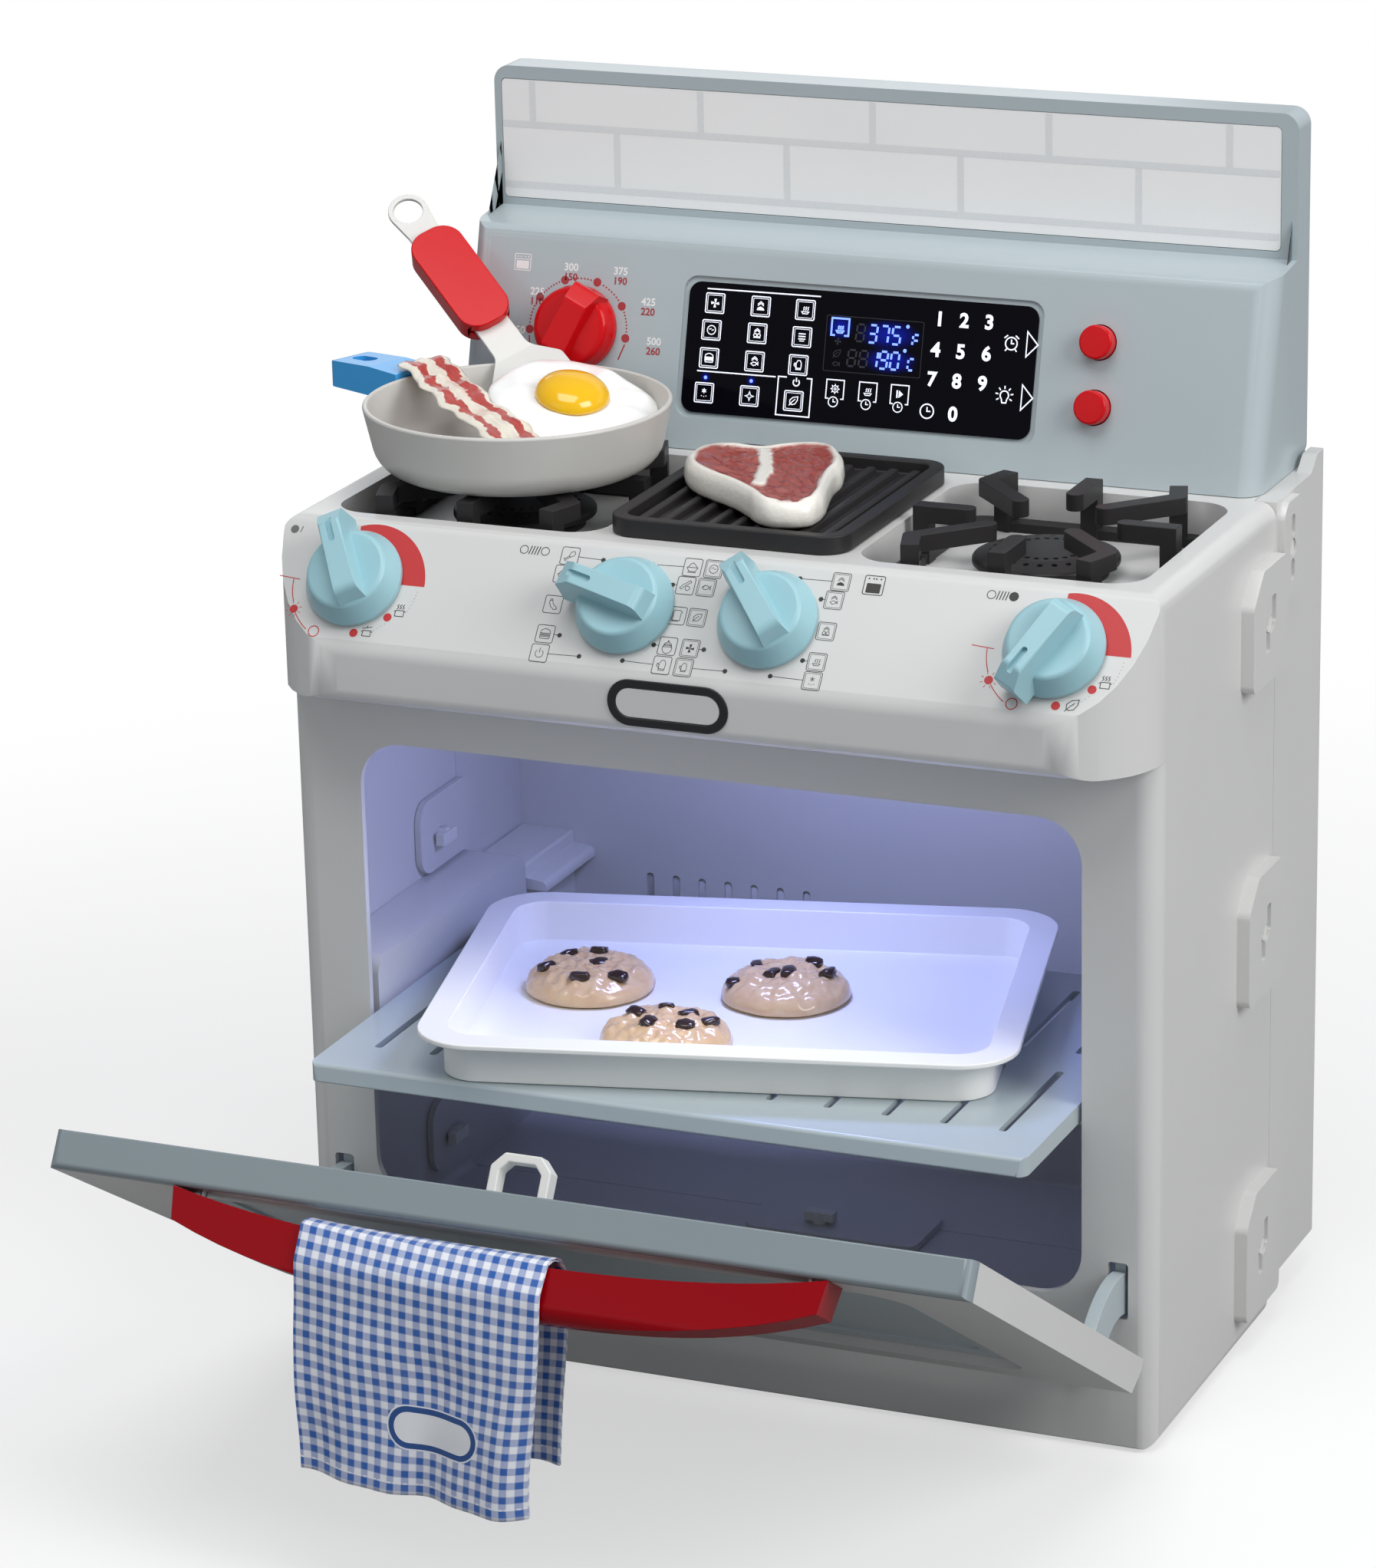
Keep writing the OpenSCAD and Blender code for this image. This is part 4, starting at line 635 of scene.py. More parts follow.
def printPanel(ink):
    p = panelPrint
    black = []
    for kind, x, y, double, dot in p["marks"]:
        black += line(roundedBox((x, y), p["square"], p["square"], 1.1), p["thick"] + 0.05, True)
        if double:
            black += line(roundedBox((x, y), p["double"], p["double"], 0.7), p["thick"] * 0.7, True)
        black += pictogram(kind, (x, y), p["square"] * (0.34 if double else 0.41), p["thick"])
        if dot:
            side = math.copysign(p["square"] / 2, dot[0] - x)
            black += line([(x + side, y), dot], p["thick"]) + disc(dot, 1.25)
    # oven mark beside the last column, with a filled window
    black += (line(roundedBox((89.6, 62.8), 10.6, 10.2, 1.0), 0.45, True) +
              [roundedBox((89.6, 61.2), 7.6, 5.2, 0.4)])
    black += dots([(86.4, 66.3), (88.9, 66.3), (90.3, 66.3), (92.8, 66.3)], 0.45)
    # burner marks: which ring a knob works
    for x, leftFull, rightFull in ((-96.4, 0, 0), (157.6, 0, 1)):
        gap = 5.9
        for side, full in ((-gap, leftFull), (gap, rightFull)):
            black += disc((x + side, 64), 2.5) if full else ring((x + side, 64), 2.2, 0.42)
        for i in range(4):
            black += line([(x - 2.4 + i * 1.6 - 0.5, 61.6), (x - 2.4 + i * 1.6 + 0.5, 66.4)], 0.55)
    printMark("panel_print_black", panelFace, black, ink["black"])
    red, extra = [], []
    for index, centre in ((0, -191), (1, 191)):
        c = (centre, p["knobUp"])
        red += crescent(c, 24, (39.0, 30.5), (0, 100 if index == 0 else 90))
        red += line([(centre - 43.5, 36.6), (centre - 31.5, 35.6)], 0.5)
        red += line(arc(c, 35.2, 184, 205), 0.5)
        flame = (centre - 30.6, 19.0)
        red += dots([flame], 2.3)
        for a in range(20, 380, 45):
            red += line([onCircle(flame, 3.1, a), onCircle(flame, 4.6, a)], 0.35)
        red += line(arc(c, 36.0, 216, 235), 0.5) + ring((centre - 16.2, 7.9), 2.9, 0.55)
        red += dots([(centre + 6.4, 9.2), (centre + 23, 19.5)], 2.3)
        extra += dots([onCircle(c, 36, a) for a in range(-5, -26, -3)], 0.2)
        extra += dots([onCircle(c, 31.5, a) for a in range(-45, -62, -4)], 0.2)
        extra += pictogram("pot", (centre + 29.0, 23.3), 4.0, 0.42) + pictogram("waves",
                (centre + 29.0, 23.3), 4.4, 0.42)
        if index == 0:
            extra += pictogram("pot", (centre + 13.6, 10.6), 3.8, 0.42) + pictogram("lid",
                    (centre + 13.6, 10.9), 4.2, 0.42)
        else:
            extra += pictogram("leaf", (centre + 14.6, 10.2), 4.6, 0.45)
    printMark("panel_print_red", panelFace, red, ink["red"])
    printMark("panel_print_small", panelFace, extra, ink["black"])
    printMark("panel_print_grey", panelFace, dots([(-233, 63.0)], 2.3) + line([(-229.4, 61.6), (-228.6, 65)],
            0.5), ink["grey"])


# The dial's big dots stand at these turns from the right.
# A label is its white figure, its red figure, x and y.
consolePrint = {"dial": (-161, 48), "reach": (28.6, 26.6), "dots": (186, 146, 110, 71, 30, -8), "labels": [
    ("150", "65", -196.4, 44.6), ("225", "110", -186.6, 66.0), ("300", "150", -167.7, 80.4),
    ("375", "190", -138.4, 80.2), ("425", "220", -120.8, 64.9), ("500", "260", -115.9, 44.0)]}


def printConsole(ink):
    c = consolePrint["dial"]
    turns = consolePrint["dots"]
    white, red = [], []

    def onScale(degrees):
        x, y = onCircle((0, 0), 1, degrees)
        return c[0] + consolePrint["reach"][0] * x, c[1] + consolePrint["reach"][1] * y
    for top, low, x, y in consolePrint["labels"]:
        white += words(top, (x, y), 4.1, 0.035)
        red += words(low, (x, y - 5.3), 4.0, 0.035)
    red += dots([onScale(turn) for turn in turns], 2.35)
    for turn, after in zip(turns, turns[1:]):
        red += dots([onScale(turn + (after - turn) / 10 * k) for k in range(2, 9)], 0.5)
    red += line([(c[0] + 28.2, 41), (c[0] + 25.0, 32.5)], 0.8) + line([(c[0] - 28.4, 42), (c[0] - 27.6, 33)],
            0.8)
    white += line(roundedBox((-196.6, 81.0), 9.4, 8.8, 0.5), 0.45,
                  True) + line([(-201.3, 82.6), (-191.9, 82.6)], 0.4)
    white += dots([(-199.6, 84.0), (-197.8, 84.0), (-195.2, 84.0), (-193.4, 84.0)], 0.4)
    white += [roundedBox((-196.6, 79.6), 7.4, 4.4, 0.2)]
    printMark("console_print_white", consoleFace, white, ink["white"])
    printMark("console_print_red", consoleFace, red, ink["rust"])


segmentsOf = {"0": "abcdef", "1": "bc", "3": "abcdg", "5": "acdfg", "7": "abc", "8": "abcdefg", "9": "abcdfg",
              "F": "aefg", "C": "adef"}


def figure(sign, x, y, width, height, thick):
    shapes = []
    w, h, g = width / 2, height / 2, thick * 0.62
    runs = {"a": ((-w + g, h), (w - g, h)), "g": ((-w + g, 0), (w - g, 0)), "d": ((-w + g, -h), (w - g, -h)),
            "f": ((-w, h - g), (-w, g)), "b": ((w, h - g), (w, g)), "e": ((-w, -g), (-w, -h + g)),
            "c": ((w, -g), (w, -h + g))}
    for key in segmentsOf[sign]:
        (ax, ay), (bx, by) = runs[key]
        slant = 0.08
        shapes += line([(x + ax + slant * ay, y + ay), (x + bx + slant * by, y + by)], thick)
    return shapes


# The display's layers lie under the face of the glass: halos deepest, then what is unlit, white and lit blue.
displayPrint = {"frame": 9.2, "thick": 0.62, "haze": -0.16, "unlit": -0.13, "white": -0.12, "lit": -0.11,
                "halos": [(24.5, 57.2, 21.0, 9.5), (26.0, 43.8, 18.5, 8.5), (-3.3, 59.4, 9.0, 8.0),
                          (-78.2, 27.0, 3.4, 3.4), (-51.7, 27.1, 3.4, 3.4)],  # x, y and how far each reaches
                "grid": [("fan", -76.1, 66.9), ("roast", -49.7, 67.0), ("steam", -24.0, 67.0),
                         ("loaf", -77.0, 52.5),
                         ("grilledVeg", -50.5, 52.6), ("racks", -24.7, 52.5), ("burger", -77.1, 37.5),
                         ("grilledFish", -50.7, 37.6),
                         ("mitt", -25.5, 37.6), ("frost", -78.4, 18.8), ("star", -52.1, 19.0),
                         ("leaf", -26.6, 18.4)],
                "timers": [("gear", -3.4, 26.6), ("steam", 15.3, 26.6), ("play", 33.4, 26.6)],
                "keys": [("1", 52.4, 68.1), ("2", 66.2, 68.2), ("3", 80.2, 68.3), ("4", 51.5, 51.9),
                         ("5", 65.6, 51.8), ("6", 80.0, 51.8),
                         ("7", 50.7, 36.3), ("8", 64.8, 36.2), ("9", 79.2, 36.1), ("0", 64.1, 18.8)]}


def printDisplay(ink):
    d = displayPrint
    t = d["thick"]
    white = []
    for kind, x, y in d["grid"]:
        white += line(roundedBox((x, y), d["frame"] + 1.4, d["frame"] + 1.2, 0.7), t, True)
        white += line(roundedBox((x, y), d["frame"] - 0.6, d["frame"] - 0.8, 0.4), t * 0.5, True)
        white += pictogram(kind, (x, y), d["frame"] * 0.37, t * 0.8)
    for kind, x, y in d["timers"]:
        white += line([(x - 3.4, y - 5.2), (x - 5, y - 5.2), (x - 5, y + 4.8), (x + 5, y + 4.8),
                       (x + 5, y - 5.2), (x + 3.4, y - 5.2)], t)
        white += pictogram(kind, (x, y), 3.4, t * 0.75) + pictogram("clock", (x - 0.6, y - 6.9), 3.5, t * 0.9)
    for text, x, y in d["keys"]:
        white += words(text, (x, y), 7.6, 0.05)
    white += line([(-81.2, 74.4), (-15.7, 74.7)], 0.7) + line([(-83.4, 30.3), (-37.8, 30.4)], 0.7)
    white += line([(-31.4, 30.8), (-36.2, 30.8), (-36.2, 10.4), (-17.0, 10.4), (-17.0, 30.8), (-20.0, 30.8)],
                  0.7)
    white += pictogram("power", (-25.8, 28.4), 3.2, 0.7)
    white += pictogram("clock", (49.5, 18.9), 5.0, 0.7) + pictogram("alarm", (93.4, 58.1), 5.4,
            0.7) + pictogram("bulb", (92.0, 30.0), 5.6, 0.7)
    for x, y in ((102.0, 58.1), (101.6, 30.2)):
        white += line([(x, y + 6.6), (x + 6.2, y), (x, y - 6.6)], 0.75, True)
    printMark("display_print_white", displayFace, white, ink["lit"], lift=d["white"])
    dim = line(roundedBox((16.3, 50.6), 55.0, 29.4, 0.8), 0.35, True)
    dim += figure("8", 8.4, 57.2, 4.4, 9.0, 1.0) + figure("8", 4.6, 43.6, 4.4, 8.6, 1.0) + figure("8", 11.2,
            43.6, 4.4, 8.6, 1.0)
    dim += pictogram("fan", (-4.0, 51.8), 2.6, 0.4) + pictogram("leaf", (-4.2, 45.3), 3.0,
            0.4) + pictogram("fish", (-4.2, 39.9), 2.8, 0.4)
    printMark("display_shadow_segments", displayFace, dim, ink["dim"], lift=d["unlit"])
    blue = []
    for sign, x, y, w, h in (("3", 15.4, 57.2, 4.6, 9.2), ("7", 22.0, 57.2, 4.6, 9.2),
                             ("5", 28.8, 57.2, 4.6, 9.2), ("F", 40.0, 55.4, 3.6, 6.0),
                             ("1", 17.6, 43.8, 3.0, 9.0), ("9", 22.6, 43.8, 4.4, 9.0),
                             ("0", 29.0, 43.8, 4.4, 9.0), ("C", 38.4, 42.6, 3.6, 6.0)):
        blue += figure(sign, x, y, w, h, 1.15)
    blue += disc((34.9, 62.4), 1.0) + disc((34.3, 49.6), 1.0)
    blue += line([(-6.0, 55.0), (-8.2, 55.0), (-8.2, 64.0), (1.6, 64.0), (1.6, 55.0), (-0.8, 55.0)],
                 1.0) + pictogram("steam", (-3.3, 58.4), 3.4, 0.8)
    blue += dots([(-78.2, 27.0), (-51.7, 27.1)], 0.95)
    printMark("display_lit_segments", displayFace, blue, ink["led"], lift=d["lit"])


# Blue halos around what is lit, as the light spreads in the tinted window.
def litHalo():
    material, tree = startMaterial("led_haze")
    place = addNode(tree, "TexCoord").outputs["UV"]
    away = addNode(tree, "VectorMath", {0: place}, operation="LENGTH")
    fade = addNode(tree, "MapRange", {"Value": away.outputs["Value"], "From Min": 0.0, "From Max": 1.0,
                                      "To Min": 0.34, "To Max": 0.0},
                   interpolation_type="SMOOTHERSTEP")
    clear = addNode(tree, "BsdfTransparent", {"Color": (1, 1, 1, 1)})
    shine = addNode(tree, "Emission", {"Color": linear("#2438ff"), "Strength": 0.8})
    surface = addNode(tree, "MixShader", {0: fade.outputs[0], 1: clear.outputs[0], 2: shine.outputs[0]})
    finishMaterial(tree, surface.outputs[0])
    return material


def makeHalos(material):
    build = bmesh.new()
    uv = build.loops.layers.uv.new("UVMap")
    spots = arc((0, 0), 1, steps=24)
    for x, y, w, h in displayPrint["halos"]:
        centre = build.verts.new(onFace(displayFace, x, y, displayPrint["haze"]))
        rim = [build.verts.new(onFace(displayFace, x + w * across, y + h * up, displayPrint["haze"]))
               for across, up in spots]
        for i in range(len(spots)):
            j = (i + 1) % len(spots)
            face = build.faces.new((centre, rim[i], rim[j]))
            for loop, spot in zip(face.loops, ((0, 0), spots[i], spots[j])):
                loop[uv].uv = spot
    makePiece("display_haze", meshOf("display_haze", build), "cabinet", material, smooth=False)


def makePrints():
    ink = {key: padInk(*spec) for key, spec in inks.items()}
    ink["lit"] = padInk("backlit_white", "#eef2ff", 0.4, 0.55)
    ink["led"] = padInk("blue_led_segments", "#6f8dff", 0.4, 1.5)
    ink["dim"] = padInk("unlit_segments", "#1d1d2b", 0.4)
    printPanel(ink)
    printConsole(ink)
    printDisplay(ink)
    makeHalos(litHalo())


tileFace = {"origin": (0, 116.2, 574.3), "up": (0, 0, 1), "out": (0, -1, 0)}
tiles = {"left": -224.7, "right": 219.7, "top": 65.4, "edge": 0.6, "pitch": 99.5, "first": -206.4,
         "joints": (40.7, 7.2), "grout": 3.7}


def printTiles():
    t = tiles
    shapes = []
    edge = t["edge"]
    for y in t["joints"]:
        shapes += line([(t["left"] + edge, y), (t["right"] - edge, y)], t["grout"])
    half = t["grout"] / 2 + 0.02
    for low, high, shift in ((t["joints"][0] + half, t["top"] - edge, 0),
                             (t["joints"][1] + half, t["joints"][0] - half, t["pitch"] / 2)):
        x = t["first"] + shift
        while x < t["right"] - 3:
            shapes += line([(x, low), (x, high)], t["grout"])
            x += t["pitch"]
    printMark("tile_print_grout", tileFace, shapes, padInk("pad_ink_pale_grout", "#ebedee", 0.3))


badge = {"x": -7.0, "z": 17.6, "width": 66, "height": 24.5, "ring": 4.4, "rise": 0.9, "plateRise": 0.45}


def capsule(width, height, steps=16):
    reach, radius = (width - height) / 2, height / 2
    right = arc((reach, 0), radius, -90, 90, steps)
    left = [(-x, -y) for x, y in right]
    return right + left


# Rings of points from the outline inward, each at its own height, closed in the middle.
def raisedPlate(name, face, centre, rings, material):
    build, loops = wrapped([[onFace(face, centre[0] + x, centre[1] + y, height) for x, y in outline]
                            for outline, height in rings])
    build.faces.new(loops[-1])
    bmesh.ops.recalc_face_normals(build, faces=build.faces)
    obj = makePiece(name, meshOf(name, build), "cabinet", material)
    smooth = obj.modifiers.new("smooth", "NODES")
    smooth.node_group = bpy.data.node_groups["smooth_by_angle"]


def makeBadge():
    b = badge
    w, h, r = b["width"], b["height"], b["ring"]
    rim = [(capsule(w, h), 0.02), (capsule(w, h), b["rise"] - 0.3), (capsule(w - 0.7, h - 0.7), b["rise"]),
             (capsule(w - 2 * r + 0.7, h - 2 * r + 0.7), b["rise"]), (capsule(w - 2 * r, h - 2 * r),
                     b["rise"] - 0.3),
             (capsule(w - 2 * r, h - 2 * r), 0.1)]
    raisedPlate("nose_badge_ring", noseFace, (b["x"], b["z"]), rim, materials["dark_plastic"])
    inner = (w - 2 * r - 0.5, h - 2 * r - 0.5)
    plate = [(capsule(*inner), 0.12), (capsule(*inner), b["plateRise"]),
             (capsule(inner[0] - 0.6, inner[1] - 0.6), b["plateRise"] + 0.25)]
    raisedPlate("nose_badge_plate", noseFace, (b["x"], b["z"]), plate, materials["shell_white"])


# The plate behind the vents that keeps fingers and daylight out. It lies inside the back wall's thickness.
baffle = {"x": -108, "z": 170, "width": 116, "height": 40, "thick": 0.8, "deep": 1.4}


def makeBaffle():
    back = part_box("rear_shell")[1][1] * 1000
    build = bmesh.new()
    bmesh.ops.create_cube(build, size=1.0)
    for v in build.verts:
        v.co = mm(baffle["x"] + v.co.x * baffle["width"], back - baffle["deep"] + v.co.y * baffle["thick"],
                  baffle["z"] + v.co.z * baffle["height"])
    makePiece("vent_baffle", meshOf("vent_baffle", build), "cabinet", materials["shell_white"])


# It hangs just under the oven_lamp part, because inside that part it would light nothing.
ovenLamp = {"place": (0, -60, 392), "size": (90, 50), "watts": 0.55, "colour": "#a9b4ff"}


def lightOven():
    width, height = ovenLamp["size"]
    lamp = areaLamp("oven_lamp_glow", mm(*ovenLamp["place"]), width / 1000, height / 1000, ovenLamp["watts"])
    lamp.data.color = linear(ovenLamp["colour"])[:3]


# One cloth, folded once lengthwise and hung over the handle; lengths in mm.
towelCloth = {"left": -98.0, "right": 32.0, "frontLow": 60.0, "backLow": 72.0, "leftLift": 9.0,
              "layers": (2.3, 1.05), "thick": 0.55,
              "wave": 4.2, "narrow": 9.0, "check": 7.5, "slant": 0.95, "weave": 0.9, "hem": 6.0,
              "stitch": 2.8, "white": "#f1f4fb", "blue": "#125cb4", "thread": "#f4f6fb"}
handle = {"half": 172, "gap": 13.5, "deep": 39.5, "end": 16.8, "width": 22, "out": -158.7, "z": 343.4,
          "round": 9,
          "hinge": (-146, 47), "open": 58}


# Where a point of the closed door lies with the door open.
def opened(y, z):
    t = math.radians(handle["open"])
    hingeY, hingeZ = handle["hinge"]
    dy, dz = y - hingeY, z - hingeZ
    return hingeY + dy * math.cos(t) - dz * math.sin(t), hingeZ + dy * math.sin(t) + dz * math.cos(t)


def handleSection(x):
    bow = 1 - abs(x / handle["half"]) ** 2.8
    inner = handle["out"] - handle["gap"] * bow
    outer = handle["out"] - handle["end"] - (handle["deep"] - handle["end"]) * bow
    r, half = handle["round"], handle["width"] / 2
    points = [(inner, handle["z"] - half), (inner, handle["z"] + half)]
    for side in (1, -1):
        for a in range(0, 91, 15):
            t = math.radians(a)
            points.append((outer + r - r * math.cos(t), handle["z"] + side * (half - r + r * math.sin(t))))
    pivot = opened(handle["out"] - (handle["gap"] + handle["deep"]) / 2, handle["z"])
    spots = []
    for quarter in range(5):  # the handle turns inside the hanging cloth as the door closes
        turn = math.radians(-handle["open"] * quarter / 4)
        c, s = math.cos(turn), math.sin(turn)
        for y, z in (opened(*p) for p in points):
            dy, dz = y - pivot[0], z - pivot[1]
            spots.append((pivot[0] + dy * c - dz * s, pivot[1] + dy * s + dz * c))
    return spots


def makeTowel():
    c = towelCloth
    width = c["right"] - c["left"]
    across, folds = 44, 8
    stations = [("flat", 0, i / across) for i in range(across + 1)]
    stations += [("fold", 0, i / folds) for i in range(1, folds)]
    stations += [("flat", 1, i / across) for i in range(across + 1)]
    drops, arcs = 46, 22
    build = bmesh.new()
    uv = build.loops.layers.uv.new("UVMap")
    rows, marks = [], []
    foldR = (c["layers"][0] - c["layers"][1]) / 2
    walked = 0
    for kind, layer, f in stations:
        if kind == "flat":
            x = c["right"] - width * f if layer == 0 else c["left"] + width * f
            away = c["layers"][layer]
        else:
            turn = math.pi * f
            x = c["left"] - foldR * 1.6 * math.sin(turn)
            away = (c["layers"][0] + c["layers"][1]) / 2 + foldR * math.cos(turn)
        share = (x - c["left"]) / width
        section = handleSection(x)
        loop = []
        for k in range(arcs + 1):
            t = math.pi * (1 - k / arcs)
            way = (math.cos(t), math.sin(t))
            best = max(section, key=lambda q: q[0] * way[0] + q[1] * way[1])
            loop.append((best[0] + way[0] * away, best[1] + way[1] * away))
        lowFront = c["frontLow"] + c["leftLift"] * (1 - share) ** 1.2 + (0.8 if layer else 0)
        lowBack = c["backLow"] + 3 * (1 - share)
        column = []
        for k in range(drops):
            column.append((loop[0][0], lowFront + (loop[0][1] - lowFront) * k / drops))
        column += loop
        for k in range(1, drops + 1):
            column.append((loop[-1][0], loop[-1][1] + (lowBack - loop[-1][1]) * k / drops))
        spots, length, lengths = [], 0, []
        for k, (y, z) in enumerate(column):
            front = k < drops
            back = k > drops + arcs
            below = max(0.0, (loop[0][1] if front else loop[-1][1]) - z) if front or back else 0.0
            grow = (below / 110) ** 1.25
            ripple = math.sin(x / 10.5 + 0.8) * 0.62 + math.sin(x / 5.1 + 2.2 + below / 60) * 0.26
            ripple += math.sin(x / 21 - 0.4) * 0.5
            side = -1 if front else 1
            sway = noise.noise(Vector((x / 45, below / 38, 3.1 if front else 9.4))) * 2.6 * min(1, below / 45)
            y2 = y + side * (c["wave"] * grow * (ripple + 0.75) + sway * 0.8 + 1.4 * min(1, below / 30))
            x2 = x - c["narrow"] * (share ** 2) * min(1, below / 105)
            x2 += 1.1 * math.sin(below / 23 + x / 30) * min(1, below / 40)
            curl = max(0, share - 0.86) / 0.14
            if front:
                y2 += 5.5 * curl ** 2 * min(1, below / 70)
            spots.append(Vector((x2, y2, z)))
            if k:
                length += (Vector((x, y, z)) - Vector((x, column[k - 1][0], column[k - 1][1]))).length
            lengths.append(length)
        rows.append([build.verts.new(mm(*spot)) for spot in spots])
        if marks:
            walked += width / across if kind == "flat" and f > 0 else math.pi * foldR / folds
        marks.append([(walked / 1000, l / 1000) for l in lengths])
    for i in range(len(rows) - 1):
        for k in range(len(rows[i]) - 1):
            face = build.faces.new((rows[i][k], rows[i + 1][k], rows[i + 1][k + 1], rows[i][k + 1]))
            for loopCorner, (a, b) in zip(face.loops, ((i, k), (i + 1, k), (i + 1, k + 1), (i, k + 1))):
                loopCorner[uv].uv = marks[a][b]
    flat = (marks[-1][0][0], sum(m[-1][1] for m in marks) / len(marks))
    obj = makePiece("towel_cloth", meshOf("towel_cloth", build), "towel", gingham(flat))
    thick = obj.modifiers.new("thick", "SOLIDIFY")
    thick.thickness = c["thick"] / 1000
    thick.offset = 0
    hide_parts("towel")


# Woven cotton gingham: white and blue threads cross, so half-tone checks show fine slanting threads.
# It is matt with a soft nap.
def gingham(flat):
    c = towelCloth
    material, tree = startMaterial("cotton_gingham")
    place = addNode(tree, "TexCoord").outputs["UV"]
    split = addNode(tree, "SeparateXYZ", {0: place})
    bands = []
    for axis in ("X", "Y"):
        turns = addNode(tree, "Math", {0: split.outputs[axis], 1: 1000 / c["check"]}, operation="MULTIPLY")
        part = addNode(tree, "Math", {0: turns.outputs[0]}, operation="FRACT")
        far = addNode(tree, "Math", {0: part.outputs[0], 1: 0.5}, operation="SUBTRACT")
        size = addNode(tree, "Math", {0: far.outputs[0]}, operation="ABSOLUTE")
        bands.append(addNode(tree, "MapRange", {"Value": size.outputs[0], "From Min": 0.235,
                "From Max": 0.265, "To Min": 1.0, "To Max": 0.0}).outputs[0])
    both = addNode(tree, "Math", {0: bands[0], 1: bands[1]}, operation="MULTIPLY")
    either = addNode(tree, "Math", {0: bands[0], 1: bands[1]}, operation="MAXIMUM")
    # threads every 0.55 mm are too fine to show, so they are drawn further apart
    lean = addNode(tree, "Math", {0: split.outputs["X"], 1: split.outputs["Y"]}, operation="ADD")
    pick = addNode(tree, "Math", {0: lean.outputs[0], 1: 2000 * math.pi / c["slant"]}, operation="MULTIPLY")
    slant = addNode(tree, "Math", {0: pick.outputs[0]}, operation="SINE")
    hatch = addNode(tree, "MapRange", {"Value": slant.outputs[0], "From Min": -0.35, "From Max": 0.35,
                                       "To Min": 0.3, "To Max": 0.78})
    half = addNode(tree, "Math", {0: either.outputs[0], 1: hatch.outputs[0]}, operation="MULTIPLY")
    full = addNode(tree, "Math", {0: both.outputs[0], 1: half.outputs[0]}, operation="MAXIMUM")
    fade = addNode(tree, "TexNoise", {"Vector": place, "Scale": marksOf(11.1), "Detail": 3.0})
    worn = addNode(tree, "MapRange", {"Value": fade.outputs["Fac"], "To Min": 0.9, "To Max": 1.04})
    amount = addNode(tree, "Math", {0: full.outputs[0], 1: worn.outputs[0]}, operation="MULTIPLY",
                     use_clamp=True)
    cloth = addNode(tree, "Mix", {"Factor": amount.outputs[0], "A": linear(c["white"]),
                                  "B": linear(c["blue"])}, data_type="RGBA")
    # hem: a stitched line beside both short edges
    fromLow = addNode(tree, "Math", {0: split.outputs["Y"], 1: flat[1] - c["hem"] / 1000},
                      operation="SUBTRACT")
    fromHigh = addNode(tree, "Math", {0: split.outputs["Y"], 1: c["hem"] / 1000}, operation="SUBTRACT")
    near = addNode(tree, "Math",
                   {0: addNode(tree, "Math", {0: fromLow.outputs[0]}, operation="ABSOLUTE").outputs[0],
                                  1: addNode(tree, "Math", {0: fromHigh.outputs[0]},
                                          operation="ABSOLUTE").outputs[0]}, operation="MINIMUM")
    seam = addNode(tree, "Math", {0: near.outputs[0], 1: 0.0004}, operation="LESS_THAN")
    stitch = addNode(tree, "Math", {0: split.outputs["X"], 1: 1000 / c["stitch"]}, operation="MULTIPLY")
    gap = addNode(tree, "Math",
                  {0: addNode(tree, "Math", {0: stitch.outputs[0]}, operation="FRACT").outputs[0], 1: 0.72},
                  operation="LESS_THAN")
    thread = addNode(tree, "Math", {0: seam.outputs[0], 1: gap.outputs[0]}, operation="MULTIPLY")
    sewn = addNode(tree, "Mix", {"Factor": thread.outputs[0], "A": cloth.outputs["Result"],
                                 "B": linear(c["thread"])}, data_type="RGBA")
    # a bare pill-shaped patch where such towels carry a mark: white with a blue rim
    spot = addNode(tree, "VectorMath", {0: place, 1: (-0.055, -0.036, 0)}, operation="ADD")
    mirrored = addNode(tree, "VectorMath", {0: spot.outputs[0]}, operation="ABSOLUTE")
    inset = addNode(tree, "VectorMath", {0: mirrored.outputs[0], 1: (0.0145, 0, 0)}, operation="SUBTRACT")
    clipped = addNode(tree, "VectorMath", {0: inset.outputs[0], 1: (0, 0, 0)}, operation="MAXIMUM")
    reach = addNode(tree, "VectorMath", {0: clipped.outputs[0]}, operation="LENGTH")
    surface = sewn.outputs["Result"]
    for radius, colour in ((0.0118, "#eef1f8"), (0.0110, "#1f4f92"), (0.0080, "#eff2f6")):
        inside = addNode(tree, "Math", {0: reach.outputs["Value"], 1: radius}, operation="LESS_THAN")
        surface = addNode(tree, "Mix", {"Factor": inside.outputs[0], "A": surface, "B": linear(colour)},
                          data_type="RGBA").outputs["Result"]
    weave = []
    for axis in ("X", "Y"):
        thread = addNode(tree, "Math", {0: split.outputs[axis], 1: 2000 * math.pi / c["weave"]},
                         operation="MULTIPLY")
        weave.append(addNode(tree, "Math", {0: thread.outputs[0]}, operation="SINE").outputs[0])
    rough = addNode(tree, "Math", {0: weave[0], 1: weave[1]}, operation="MULTIPLY")
    lint = addNode(tree, "TexNoise", {"Vector": place, "Scale": marksOf(0.667), "Detail": 2.0})
    height = addNode(tree, "Math", {0: rough.outputs[0], 1: 0.5, 2: lint.outputs["Fac"]},
                     operation="MULTIPLY_ADD")
    bump = addNode(tree, "Bump", {"Height": height.outputs[0], "Distance": 0.00012, "Strength": 0.8})
